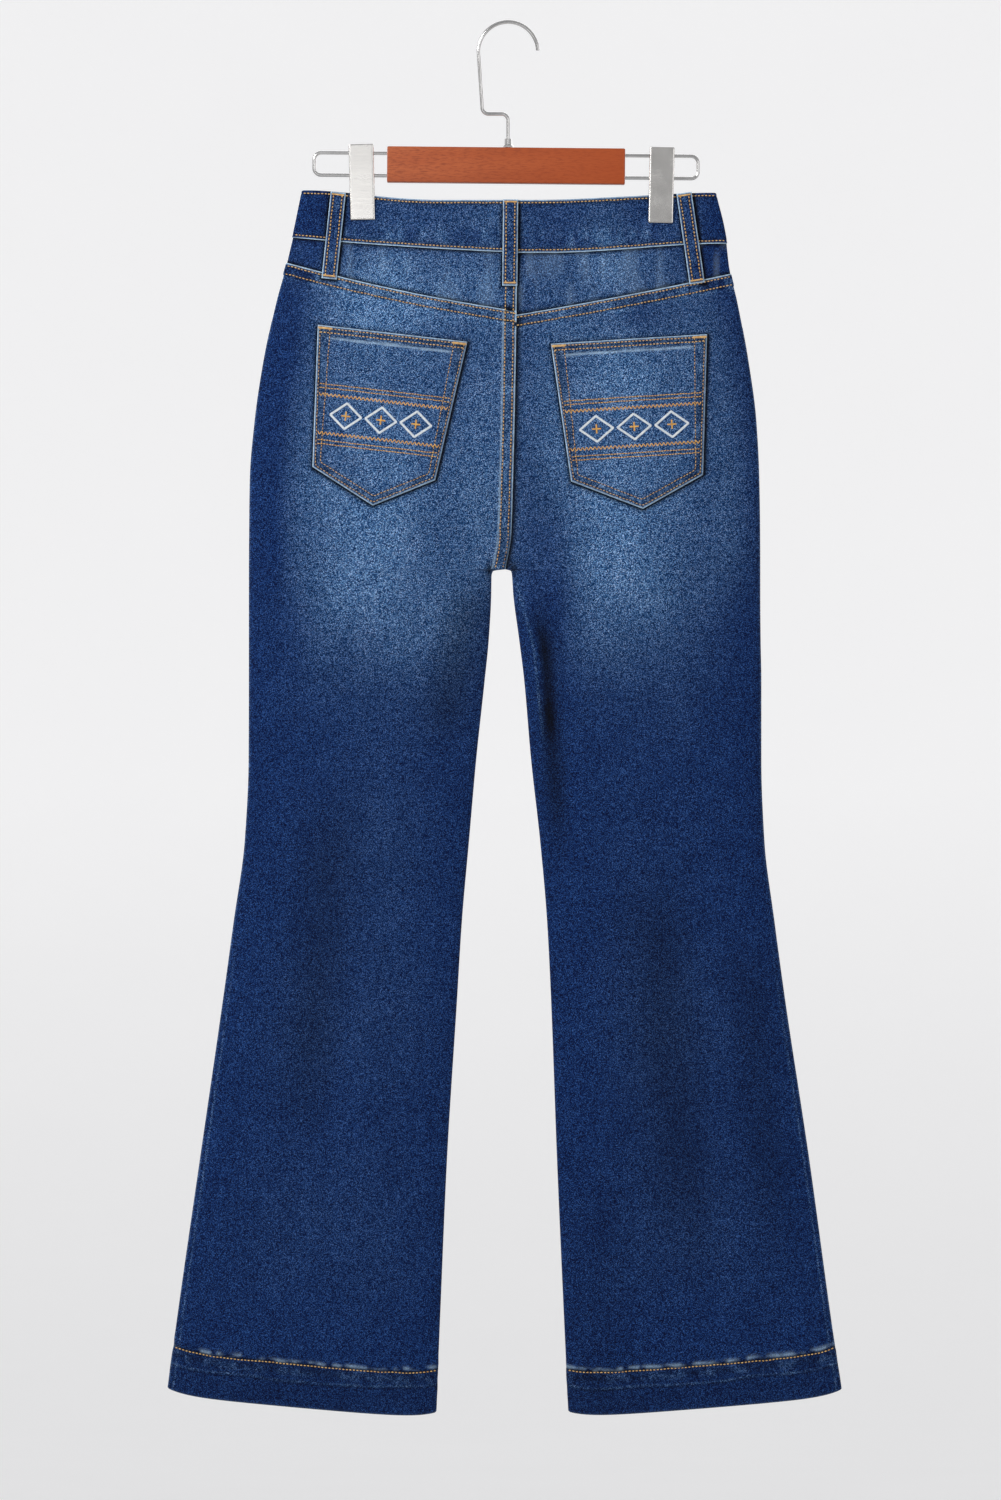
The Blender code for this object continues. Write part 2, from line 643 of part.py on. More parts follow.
def waist_button(finish):
    """A shank button on the left end of the waistband, its face towards the front."""
    seat = surface_at(FRONT, BUTTON_X, BUTTON_DROP, BAND_OUT + LAP_OUT + SEAM_GAP * 1.6)
    profile = [
        (0.0, 0.0),
        (5.2, 0.0),
        (5.2, 1.2),
        (BUTTON_RADIUS - 0.5, 1.6),
        (BUTTON_RADIUS, 2.2),
        (BUTTON_RADIUS, 3.0),
        (BUTTON_RADIUS - 0.6, 3.5),
        (BUTTON_RADIUS - 1.8, 3.2),
        (0.0, 3.9),
    ]
    made = turned("waist_button", profile, 20, finish)
    made.location = seat * MM
    made.rotation_euler = (-math.pi / 2, 0.0, 0.0)
    return made


# ---------------------------------------------------------------- hanger

WIRE = 3.2
HOOK_WIRE = 3.4
WIRE_ROUNDING = 3  # steps round a quarter of a wire, less one
HOOK_RADIUS = 25.5  # to the wire's middle
SHOULDER_Z, SHOULDER_BEND = -77.4, 5.5  # where the hook's shank turns in over the bar
SHANK_IN = 3.2  # the shank leans in by this from the hook's widest point
STEM_LOW = -103.4
HANGER_TILT = 0.55  # degrees, its right end lower
BAR_CENTRE = (-1.7, -121.9)  # x and z
BAR_LENGTH, BAR_HEIGHT, BAR_DEPTH = 204.5, 30.8, 13.0
BAR_BEVEL = 1.6
WIRE_REACH = 64.5  # a wire loop stands this far out of the bar's end
WIRE_APART = 19.2
WIRE_CORNER = 6.0
PLATE_WIDTH, PLATE_LENGTH, PLATE_WALL = 21.6, 65.0, 1.2
PLATE_TOP = -103.6  # z of a clip's top edge
PLATE_LEAN = 1.3  # degrees, the low ends towards the middle
PLATE_Y = 3.35  # inner face of a plate
FLANGE_DEPTH, FLANGE_LENGTH = 1.3, 36.0
SPRING_RADIUS, SPRING_WALL, SPRING_LENGTH = 3.0, 1.0, 13.0
COLLAR_PROFILE = ((4.6, 0.0), (4.6, 1.2), (3.4, 2.2), (3.2, 7.2))  # outside: radius, height
COLLAR_LIFT = 0.45  # over the bar


def hanger_hook(finish):
    """Open hook over the rail, an offset shoulder, and a stem into the bar."""
    centre = (0.0, -HOOK_RADIUS + HOOK_WIRE / 2)
    shank_x = -HOOK_RADIUS + SHANK_IN
    path = arc(centre, HOOK_RADIUS, 2, 180, 22)
    path += arc((shank_x + SHOULDER_BEND, SHOULDER_Z + SHOULDER_BEND), SHOULDER_BEND, 186, 270, 6)
    path += arc((-SHOULDER_BEND, SHOULDER_Z - SHOULDER_BEND), SHOULDER_BEND, 90, 0, 6)
    path.append((0.0, 0.0, STEM_LOW))
    return wire("hanger_hook", path, HOOK_WIRE, finish)


def wire_loop(side, finish):
    """A U of wire out of the bar's end, in the bar's own frame."""
    start = side * (BAR_LENGTH / 2 + SEAM_GAP)
    end = side * (BAR_LENGTH / 2 + WIRE_REACH - WIRE / 2)
    half = WIRE_APART / 2
    corner = end - side * WIRE_CORNER
    upper = arc((corner, half - WIRE_CORNER), WIRE_CORNER, 90, 0, 7)
    lower = arc((corner, -half + WIRE_CORNER), WIRE_CORNER, 0, -90, 7)
    turn = upper + lower
    if side == LEFT:
        turn = [(2 * corner - x, y, z) for x, y, z in turn]
    path = [(start, 0.0, half), *turn, (start, 0.0, -half)]
    return wire(f"hanger_wire_{'left' if side == LEFT else 'right'}", path, WIRE, finish)


def box_mesh(name, low, high, finish):
    corners = [(x, y, z) for x in (low[0], high[0]) for y in (low[1], high[1]) for z in (low[2], high[2])]
    faces = [(0, 1, 3, 2), (4, 6, 7, 5), (0, 4, 5, 1), (2, 3, 7, 6), (0, 2, 6, 4), (1, 5, 7, 3)]
    return add_mesh(name, corners, faces, finish, smooth=False)


def bevel(made, width, segments):
    rounded = made.modifiers.new("rounded_edges", "BEVEL")
    rounded.width = width * MM
    rounded.segments = segments
    rounded.limit_method = "ANGLE"


def clip_plate(side, face, finish):
    """A pressed plate with its sides turned in above the cloth. Its profile is drawn in X and Y, and its
    length runs down from local z = 0."""
    half, back, front = PLATE_WIDTH / 2, PLATE_Y + PLATE_WALL, PLATE_Y
    tip = PLATE_Y - FLANGE_DEPTH
    flat = [(-half, back), (half, back), (half, front), (-half, front)]
    channel = [
        (-half, back),
        (half, back),
        (half, tip),
        (half - PLATE_WALL, tip),
        (half - PLATE_WALL, front),
        (-half + PLATE_WALL, front),
        (-half + PLATE_WALL, tip),
        (-half, tip),
    ]
    work = bmesh.new()
    rings = []
    for z in (0.0, -FLANGE_LENGTH):
        rings.append([work.verts.new((x * MM, face * y * MM, z * MM)) for x, y in channel])
    top, low = rings
    foot = [work.verts.new((x * MM, face * y * MM, -PLATE_LENGTH * MM)) for x, y in flat]
    for k in range(8):
        work.faces.new((top[k], top[(k + 1) % 8], low[(k + 1) % 8], low[k]))
    # The turned-in sides end here, and the flat plate goes on down.
    work.faces.new((top[0], top[1], top[4], top[5]))
    work.faces.new((top[1], top[2], top[3], top[4]))
    work.faces.new((top[5], top[6], top[7], top[0]))
    work.faces.new((low[0], low[1], foot[1], foot[0]))
    work.faces.new(foot)
    inner_right = work.verts.new((half * MM, face * front * MM, -FLANGE_LENGTH * MM))
    inner_left = work.verts.new((-half * MM, face * front * MM, -FLANGE_LENGTH * MM))
    work.faces.new((low[1], inner_right, foot[2], foot[1]))
    work.faces.new((low[0], foot[0], foot[3], inner_left))
    work.faces.new((inner_right, low[4], low[5], inner_left, foot[3], foot[2]))
    work.faces.new((low[1], low[2], inner_right))
    work.faces.new((low[2], low[3], low[4], inner_right))
    work.faces.new((low[0], inner_left, low[7]))
    work.faces.new((inner_left, low[5], low[6], low[7]))
    bmesh.ops.recalc_face_normals(work, faces=work.faces)
    name = f"clip_{'left' if side == LEFT else 'right'}_{'near' if face == BACK else 'far'}"
    mesh = bpy.data.meshes.new(name)
    work.to_mesh(mesh)
    work.free()
    mesh.materials.append(finish)
    made = bpy.data.objects.new(name, mesh)
    bpy.context.scene.collection.objects.link(made)
    bevel(made, 0.25, 1)
    made.location = (CLIP_X[side] * MM, 0.0, PLATE_TOP * MM)
    made.rotation_euler = (0.0, math.radians(side * PLATE_LEAN), 0.0)
    return made


def hanger(wood, nickel, chrome):
    """The bar carries the wires and the springs, so they are placed in its tilted frame."""
    frame = bpy.data.objects.new("hanger_frame", None)
    bpy.context.scene.collection.objects.link(frame)
    frame.location = (BAR_CENTRE[0] * MM, 0.0, BAR_CENTRE[1] * MM)
    frame.rotation_euler = (0.0, math.radians(HANGER_TILT), 0.0)
    size = np.array([BAR_LENGTH, BAR_DEPTH, BAR_HEIGHT]) / 2
    bar = box_mesh("hanger_bar", -size, size, wood)
    bevel(bar, BAR_BEVEL, 3)
    held = [bar]
    for side in (LEFT, RIGHT):
        held.append(wire_loop(side, chrome))
        inner, outer = SPRING_RADIUS - SPRING_WALL, SPRING_RADIUS
        half = SPRING_LENGTH / 2
        coil = [(inner, -half), (outer, -half), (outer, half), (inner, half)]
        spring = turned(f"clip_{'left' if side == LEFT else 'right'}_spring", coil, 16, chrome)
        spring.rotation_euler = (0.0, math.pi / 2, 0.0)
        spring.location = ((CLIP_X[side] - BAR_CENTRE[0]) * MM, 0.0, -WIRE_APART / 2 * MM)
        held.append(spring)
    for piece in held:
        piece.parent = frame
    hanger_hook(chrome)
    bore = HOOK_WIRE / 2 + SEAM_GAP
    profile = [(bore, 0.0), *COLLAR_PROFILE, (bore, COLLAR_PROFILE[-1][1])]
    collar = turned("hook_collar", profile, 16, chrome)
    bar_top = BAR_CENTRE[1] + BAR_HEIGHT / 2
    collar.location = (0.0, 0.0, (bar_top + COLLAR_LIFT) * MM)
    for side in (LEFT, RIGHT):
        for face in (BACK, FRONT):
            clip_plate(side, face, nickel)


# ---------------------------------------------------------------- the whole part


def clear_scene():
    for made in list(bpy.data.objects):
        bpy.data.objects.remove(made, do_unlink=True)


def main():
    clear_scene()
    denim = material("denim", (0.012, 0.032, 0.105), 0.85)
    worn_denim = material("worn_denim", (0.055, 0.115, 0.245), 0.85)
    metal = material("antique_brass", (0.45, 0.30, 0.14), 0.35, 1.0)
    wood = material("stained_wood", (0.40, 0.095, 0.035), 0.45)
    nickel = material("satin_nickel", (0.72, 0.70, 0.66), 0.3, 1.0)
    chrome = material("polished_steel", (0.75, 0.75, 0.76), 0.12, 1.0)
    for side in (LEFT, RIGHT):
        leg_panel(BACK, side, denim)
        leg_panel(FRONT, side, denim)
        yoke(side, worn_denim)
        back_pocket(side, worn_denim)
        pocket_facing(side, denim)
    waistband(denim)
    fly_lap(denim)
    fly_zip(metal)
    for name in LOOPS:
        belt_loop(name, denim)
    waist_button(metal)
    hanger(wood, nickel, chrome)


main()
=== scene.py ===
"""Looks of the bootcut jeans on a clip hanger: denim shells, sewing and a finished hanger.

The garment's surface is worked out as in the part's source, in millimetres, with heights as a drop below the
origin. Each shell follows its solid, with seams, worn places, painted shade and small unevenness added. The
back faces -Y.
"""

import json
import math
from collections import namedtuple

import bmesh
import bpy
import numpy as np
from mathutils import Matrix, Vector

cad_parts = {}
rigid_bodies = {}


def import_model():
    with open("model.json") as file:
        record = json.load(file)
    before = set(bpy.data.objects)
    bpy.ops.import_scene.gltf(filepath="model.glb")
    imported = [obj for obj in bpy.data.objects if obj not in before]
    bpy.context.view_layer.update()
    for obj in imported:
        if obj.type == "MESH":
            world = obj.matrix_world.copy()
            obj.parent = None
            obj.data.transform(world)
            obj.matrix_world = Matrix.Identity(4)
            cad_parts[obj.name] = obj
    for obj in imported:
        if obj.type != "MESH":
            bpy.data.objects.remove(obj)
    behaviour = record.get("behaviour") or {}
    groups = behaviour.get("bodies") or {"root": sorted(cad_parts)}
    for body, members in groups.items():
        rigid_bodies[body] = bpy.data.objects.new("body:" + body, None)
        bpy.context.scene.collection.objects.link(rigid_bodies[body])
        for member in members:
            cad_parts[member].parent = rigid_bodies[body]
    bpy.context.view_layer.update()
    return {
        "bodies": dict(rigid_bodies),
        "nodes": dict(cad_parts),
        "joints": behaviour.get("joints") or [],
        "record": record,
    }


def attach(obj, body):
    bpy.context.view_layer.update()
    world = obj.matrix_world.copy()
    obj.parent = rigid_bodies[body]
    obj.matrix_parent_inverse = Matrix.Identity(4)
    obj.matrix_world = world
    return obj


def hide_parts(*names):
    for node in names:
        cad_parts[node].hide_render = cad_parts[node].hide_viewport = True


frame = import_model()

MM = 0.001
BACK, FRONT = -1, 1
LEFT, RIGHT = -1, 1
SIDE_NAME = {LEFT: "left", RIGHT: "right"}
FACE_NAME = {BACK: "back", FRONT: "front"}

# ---------------------------------------------------------------- sizes shared with the solids

DENIM = 1.5
HEM_DENIM = 2.6
HEM_DEPTH = 38.0
BAND_OUT = 0.9
BAND_WALL = 2.6
PATCH_WALL = 1.1
SEAM_GAP = 0.3
FELL_RAISE = 0.7
ROUNDING = 0.8

Section = namedtuple("Section", "drop left_fold right_fold left_rise right_rise half_depth")
SECTIONS = [
    Section(*row)
    for row in (
        (140, -175.8, 176.8, 7.0, 7.0, 8.0),  # above the waist
        (186, -185.5, 187.3, 7.7, 7.7, 10.2),  # waistband seam
        (210, -191.2, 190.3, 7.8, 7.8, 11.8),  # yoke at the side
        (238, -198.9, 196.9, 7.4, 7.4, 13.2),
        (289, -210.0, 206.4, 6.6, 6.6, 16.4),
        (341, -217.7, 213.3, 5.6, 5.6, 18.0),
        (392, -221.9, 215.9, 4.3, 4.3, 18.0),  # seat
        (440, -222.5, 216.6, 2.6, 2.6, 18.0),
        (469, -222.7, 216.7, -2.4, -2.4, 17.5),  # crotch
        (470.5, -222.7, 216.7, -12.8, 2.6, 17.4),  # the gap between the legs opens with a flat top
        (475, -222.7, 216.7, -14.2, 3.4, 17.3),
        (490, -222.7, 216.7, -14.4, 4.4, 17.0),
        (530, -222.7, 217.0, -16.6, 9.6, 16.8),
        (564, -222.7, 217.6, -20.0, 13.8, 16.4),
        (633, -222.9, 217.6, -27.4, 19.8, 15.5),
        (702, -226.2, 220.2, -33.5, 27.5, 14.6),  # knee
        (771, -235.6, 228.8, -39.6, 33.5, 14.0),
        (840, -245.1, 238.2, -43.9, 37.0, 13.6),
        (977, -264.9, 258.9, -52.5, 42.1, 13.2),
        (1115, -284.7, 277.8, -58.5, 48.2, 13.0),
        (1200, -296.0, 290.5, -62.0, 52.3, 13.0),  # hem
    )
]
CROTCH_DROP = 469.0
CROTCH_BLEND = 95.0

Seam = namedtuple("Seam", "side centre bow reach")
WAIST_TOP = {
    (BACK, LEFT): Seam(143.2, 151.8, 0.0, 0.65),
    (BACK, RIGHT): Seam(145.3, 151.8, 0.0, 0.90),
    (FRONT, LEFT): Seam(143.2, 160.0, 0.0, 1.0),
    (FRONT, RIGHT): Seam(145.3, 160.0, 0.0, 1.0),
}
WAIST_SEAM = {
    (BACK, LEFT): Seam(184.0, 197.4, 0.4, None),
    (BACK, RIGHT): Seam(189.2, 197.6, 0.0, 0.85),
    (FRONT, LEFT): Seam(184.0, 201.0, 0.3, None),
    (FRONT, RIGHT): Seam(189.2, 201.0, 0.3, None),
}
YOKE_SEAM = {
    (BACK, LEFT): Seam(205.5, 247.7, 0.25, None),
    (BACK, RIGHT): Seam(215.0, 251.0, 0.1, None),
}
HEM_EDGE = {
    (BACK, LEFT): Seam(1178.5, 1199.0, 0.1, None),
    (BACK, RIGHT): Seam(1179.5, 1198.5, 0.1, None),
    (FRONT, LEFT): Seam(1178.5, 1196.5, 0.1, None),
    (FRONT, RIGHT): Seam(1179.5, 1196.0, 0.1, None),
}
HEM_CORNER = 5.0

Fold = namedtuple("Fold", "face x_top drop_top x_low drop_low width height")
FOLDS = [
    Fold(*row)
    for row in (
        (BACK, 8.0, 472.0, 36.0, 600.0, 7.0, 1.8),
        (BACK, 28.0, 476.0, 46.0, 740.0, 10.0, -2.6),
        (BACK, -30.0, 470.0, -62.0, 640.0, 20.0, -1.6),
        (BACK, 60.0, 455.0, 120.0, 560.0, 26.0, 1.2),
        (BACK, -70.0, 455.0, -118.0, 545.0, 26.0, 1.0),
        (BACK, -150.0, 640.0, -175.0, 1000.0, 26.0, -1.4),
        (BACK, 120.0, 690.0, 160.0, 1120.0, 30.0, -1.6),
        (BACK, -105.0, 800.0, -140.0, 1150.0, 30.0, 1.2),
        (BACK, 205.0, 760.0, 232.0, 1100.0, 20.0, -1.2),
        (FRONT, -20.0, 470.0, -90.0, 560.0, 16.0, -2.2),
        (FRONT, 10.0, 470.0, 84.0, 565.0, 16.0, -2.4),
        (FRONT, -35.0, 500.0, -70.0, 720.0, 18.0, -2.0),
        (FRONT, 30.0, 500.0, 62.0, 700.0, 18.0, -1.8),
        (FRONT, -150.0, 700.0, -190.0, 1120.0, 28.0, -1.6),
        (FRONT, 130.0, 660.0, 170.0, 1060.0, 28.0, -1.6),
    )
]

CLIP_X = {LEFT: -126.4, RIGHT: 132.6}
CLIP_FLAT = 13.0
CLIP_SPREAD = 26.0
CLIP_HALF_DEPTH = 1.6
CLIP_FADE_TOP, CLIP_FADE_LOW = 166.0, 206.0

SCOOP_SHARE = 0.52
SCOOP_DROP = 72.0
UNDERLAP = 22.0
OVERLAP = 18.0
LAP_OUT = 1.06 * (BAND_WALL + SEAM_GAP)
FACING_WALL = 1.2
FLY_LEFT, FLY_RIGHT = -31.0, 13.0
FLY_LONG, FLY_SHORT = 152.0, 106.0
FLY_LIFT = 0.12  # how far the fly's lap stands off the panel

Pocket = namedtuple("Pocket", "top_outer top_inner low_inner tip low_outer")
POCKETS = {
    LEFT: Pocket((-163.4, 259.2), (-34.9, 274.2), (-62.5, 392.9), (-116.1, 414.7), (-168.0, 381.3)),
    RIGHT: Pocket((170.9, 267.3), (36.7, 275.9), (54.0, 394.0), (115.7, 417.5), (167.4, 388.2)),
}

Loop = namedtuple("Loop", "face x_top drop_top x_low drop_low low_lift")
LOOPS = {  # two of the back ones end 2.4 mm lower than their solids, as in the photograph
    "back_left": Loop(BACK, -145.9, 144.9, -153.7, 219.8, 1.0),
    "back_centre": Loop(BACK, 2.2, 151.6, 1.5, 226.0, 0.0),
    "back_right": Loop(BACK, 151.2, 145.4, 162.4, 223.6, 1.0),
    "front_left": Loop(FRONT, -83.0, 153.5, -85.0, 221.0, 0.2),
    "front_right": Loop(FRONT, 84.0, 154.5, 86.0, 222.0, 0.2),
}
LOOP_WIDTH = 13.0
LOOP_WALL = 1.7
LOOP_SLACK = 2.2
TUCK = 1.6  # in the looks alone, a seam's under edge runs on this far beneath the upper one


# ---------------------------------------------------------------- the garment's surface


def ease(t):
    """0 to 1 with level ends."""
    t = np.clip(t, 0.0, 1.0)
    return t * t * (3.0 - 2.0 * t)


def bell(distance, width):
    """1 at the middle, falling away smoothly over about this width to each side."""
    return np.exp(-((distance / width) ** 2))


def through(x, xs, ys):
    """A smooth curve through the points (xs, ys) that never overshoots them, read at x."""
    xs, ys = np.asarray(xs, float), np.asarray(ys, float)
    step = np.diff(xs)
    slope = np.diff(ys) / step
    tangent = np.concatenate([slope[:1], np.zeros(len(xs) - 2), slope[-1:]])
    same = slope[:-1] * slope[1:] > 0
    pair = slope[:-1] + slope[1:]
    tangent[1:-1][same] = 2.0 * slope[:-1][same] * slope[1:][same] / pair[same]
    x = np.clip(x, xs[0], xs[-1])
    k = np.clip(np.searchsorted(xs, x) - 1, 0, len(step) - 1)
    t = (x - xs[k]) / step[k]
    return (
        ys[k] * (1 + 2 * t) * (1 - t) ** 2
        + ys[k + 1] * t * t * (3 - 2 * t)
        + step[k] * (tangent[k] * t * (1 - t) ** 2 - tangent[k + 1] * t * t * (1 - t))
    )


def column(name, drop, rows=SECTIONS):
    return through(drop, [row.drop for row in rows], [getattr(row, name) for row in rows])


def fold_x(side, drop):
    return column(SIDE_NAME[side] + "_fold", drop)


ABOVE_CROTCH = [row for row in SECTIONS if row.drop <= CROTCH_DROP]
BELOW_CROTCH = [row for row in SECTIONS if row.drop >= CROTCH_DROP]


def rise_x(side, drop):
    """The centre seam, or below the crotch this leg's inner fold."""
    name = SIDE_NAME[side] + "_rise"
    above = column(name, drop, ABOVE_CROTCH)
    return np.where(np.asarray(drop) <= CROTCH_DROP, above, column(name, drop, BELOW_CROTCH))


def half_width(side, drop):
    return np.abs(rise_x(side, drop) - fold_x(side, drop))


def x_at(side, share, drop):
    outer = fold_x(side, drop)
    return outer + (rise_x(side, drop) - outer) * share


def legness(drop):
    """0 where a section is half of one tube, 1 where it is a leg of its own."""
    return ease((drop - CROTCH_DROP + CROTCH_BLEND) / CROTCH_BLEND)


def share_across(q, drop):
    c = np.cos(q * math.pi / 2)
    w = legness(drop)
    return 1.0 - (1.0 - w) * c - w * c * c


def roundness(share, drop):
    w = legness(drop)
    toward = np.clip(1.0 - share, -1.0, 1.0)
    root = np.sqrt((1.0 - w) ** 2 + 4.0 * w * np.maximum(toward, 0.0))
    c = np.where(w > 1e-6, (root - (1.0 - w)) / np.maximum(2.0 * w, 1e-6), toward)
    c = np.clip(c, -1.0, 1.0)
    tube = np.sqrt(np.maximum(1.0 - c * c, 0.0))
    leg = 2.0 * np.abs(c) * tube
    return (1.0 - w) * tube**ROUNDING + w * leg**ROUNDING


def pinch(x, drop):
    held = 0.0
    for clip in CLIP_X.values():
        held = np.maximum(held, bell(np.maximum(np.abs(x - clip) - CLIP_FLAT, 0.0), CLIP_SPREAD))
    return held * (1.0 - ease((drop - CLIP_FADE_TOP) / (CLIP_FADE_LOW - CLIP_FADE_TOP)))


def folds(x, drop, face):
    push = 0.0
    for fold in FOLDS:
        if fold.face != face:
            continue
        along = (drop - fold.drop_top) / (fold.drop_low - fold.drop_top)
        line = fold.x_top + (fold.x_low - fold.x_top) * np.clip(along, 0, 1)
        ends = ease(along / 0.25) * ease((1.0 - along) / 0.35)
        push = push + fold.height * ends * bell(x - line, fold.width)
    return push


NOISE_CELLS = 256


def value_noise(x, y, cell_x, cell_y, seed, shift=500.0):
    """Smooth seeded noise from -1 to 1, its bumps about a cell across. shift picks the stretch of noise."""
    table = np.random.default_rng(seed).uniform(-1.0, 1.0, (NOISE_CELLS, NOISE_CELLS))
    gx, gy = (np.asarray(x) + shift) / cell_x, np.asarray(y) / cell_y
    ix, iy = np.floor(gx).astype(int), np.floor(gy).astype(int)
    fx, fy = ease(gx - ix), ease(gy - iy)

    def at(i, j):
        return table[(ix + i) % NOISE_CELLS, (iy + j) % NOISE_CELLS]

    low = at(0, 0) * (1 - fx) + at(1, 0) * fx
    high = at(0, 1) * (1 - fx) + at(1, 1) * fx
    return low * (1 - fy) + high * fy


def unevenness(x, drop, face):
    """The slight waviness of hanging cloth, mostly along its length."""
    seed = 11 if face == BACK else 23
    broad = value_noise(x, drop, 46.0, 150.0, seed, 400.0)
    fine = value_noise(x, drop, 17.0, 46.0, seed + 1, 400.0)
    return (0.55 * broad + 0.16 * fine) * ease((drop - 205.0) / 60.0)


def surface(side, face, share, drop, out=0.0, gap=0.05, uneven=True):
    """The point at this share of the half's width and this drop, moved out from the panels' outer face."""
    share, drop = np.broadcast_arrays(np.asarray(share, float), np.asarray(drop, float))
    rounded = roundness(share, drop)
    outer, inner = fold_x(side, drop), rise_x(side, drop)
    x = outer + (inner - outer) * share
    half = column("half_depth", drop) * rounded
    flat = np.minimum(half, CLIP_HALF_DEPTH)
    half = half + (flat - half) * pinch(x, drop)
    half = half + folds(x, drop, face) * rounded
    if uneven:
        half = half + unevenness(x, drop, face) * rounded
    y = face * (gap + half + out * rounded)
    x = x + side * out * (1.0 - share) ** 3 - side * out * legness(drop) * share**3
    return np.stack([x, y, -drop], axis=-1)


def share_at(side, x, drop):
    outer, inner = fold_x(side, drop), rise_x(side, drop)
    return (x - outer) / (inner - outer)


def surface_at(face, x, drop, out=0.0):
    """The point of this face at a given x and drop, on whichever half holds it."""
    x, drop, out = np.broadcast_arrays(*(np.asarray(v, float) for v in (x, drop, out)))
    on_left = x < 0.5 * (rise_x(LEFT, drop) + rise_x(RIGHT, drop))
    left = surface(LEFT, face, share_at(LEFT, x, drop), drop, out)
    right = surface(RIGHT, face, share_at(RIGHT, x, drop), drop, out)
    point = np.where(on_left[..., None], left, right)
    point[..., 0] = x
    return point


def seam_drop(seam, share):
    if seam.reach:
        return seam.side + (seam.centre - seam.side) * ease(share / seam.reach)
    return seam.side + (seam.centre - seam.side) * (share + seam.bow * share * (1.0 - share))


def hem_drop(face, side, share):
    corner = HEM_CORNER * ((1.0 - share) ** 14 + share**14)
    return seam_drop(HEM_EDGE[face, side], share) - corner


def scoop_drop(share):
    t = np.clip(share / SCOOP_SHARE, 0.0, 1.0)
    return SCOOP_DROP * np.sqrt(1.0 - t**2)


def panel_top(face, side, share):
    """The drop of a leg panel's top edge."""
    if face == BACK:
        return seam_drop(YOKE_SEAM[face, side], share)
    return seam_drop(WAIST_SEAM[face, side], share) + scoop_drop(share)


# ---------------------------------------------------------------- how worn the denim is, and its painted shade

# The wash: how light the cloth is down the garment, and across each half from the side fold to the centre.
WASH_DOWN = (
    (143, 0.42), (180, 0.50), (192, 0.52), (200, 0.70), (240, 0.80), (300, 0.78), (345, 0.88),
    (410, 0.97), (461, 0.93), (495, 0.72), (530, 0.42), (564, 0.19), (598, 0.08), (640, 0.03),
    (760, 0.03), (850, 0.07), (940, 0.03), (1040, 0.06), (1140, 0.0), (1200, 0.0),
)
WASH_ACROSS = {
    LEFT: (
        (0.0, 0.0), (0.09, 0.02), (0.19, 0.42), (0.29, 0.70), (0.39, 0.94), (0.48, 1.0),
        (0.58, 0.86), (0.67, 0.67), (0.78, 0.53), (0.87, 0.58), (1.0, 0.54),
    ),
    RIGHT: (
        (0.0, 0.04), (0.06, 0.20), (0.14, 0.44), (0.24, 0.55), (0.35, 0.64), (0.45, 0.78),
        (0.55, 1.0), (0.65, 0.9), (0.75, 0.74), (0.86, 0.55), (0.94, 0.30), (1.0, 0.28),
    ),
}
LEG_ACROSS = {
    LEFT: (
        (0.0, 0.0), (0.05, 0.04), (0.16, 0.26), (0.28, 0.66), (0.40, 0.92), (0.70, 1.0),
        (0.86, 0.60), (1.0, 0.10),
    ),
    RIGHT: (
        (0.0, 0.0), (0.06, 0.04), (0.16, 0.26), (0.28, 0.62), (0.42, 0.94), (0.62, 0.92),
        (0.76, 0.52), (0.86, 0.10), (1.0, 0.02),
    ),
}
LEG_WASH_DROP, LEG_WASH_BLEND = 455.0, 75.0  # where the leg's shares take over, and over what length
Patch = namedtuple("Patch", "x drop half_width half_height amount")
PATCHES = [  # soft patches that are more or less washed than the rest
    Patch(*row)
    for row in (
        (0.0, 170.0, 62.0, 20.0, 0.19),
        (108.0, 168.0, 44.0, 24.0, -0.20),
        (46.0, 172.0, 24.0, 24.0, -0.30),
        (-100.0, 172.0, 40.0, 22.0, -0.23),
        (-182.0, 196.0, 14.0, 14.0, 0.10),
        (-24.0, 222.0, 46.0, 22.0, 0.26),
        (-100.0, 244.0, 54.0, 26.0, 0.36),
        (-104.0, 292.0, 52.0, 30.0, -0.16),
        (100.0, 250.0, 46.0, 24.0, -0.46),
        (62.0, 220.0, 26.0, 16.0, -0.12),
        (176.0, 204.0, 20.0, 26.0, -0.42),
        (104.0, 300.0, 34.0, 26.0, 0.34),
        (-20.0, 330.0, 26.0, 80.0, 0.08),
        (22.0, 330.0, 20.0, 80.0, 0.14),
        (-50.0, 520.0, 30.0, 50.0, 0.15),
        (-16.0, 426.0, 22.0, 30.0, 0.12),
        (100.0, 444.0, 34.0, 30.0, 0.10),
        (46.0, 495.0, 14.0, 30.0, -0.14),
        (166.0, 460.0, 22.0, 60.0, -0.18),
        (-180.0, 480.0, 20.0, 50.0, -0.12),
        (36.0, 448.0, 20.0, 42.0, -0.42),
        (-108.0, 700.0, 40.0, 90.0, 0.06),
    )
]
MOST_WASHED = 1.2


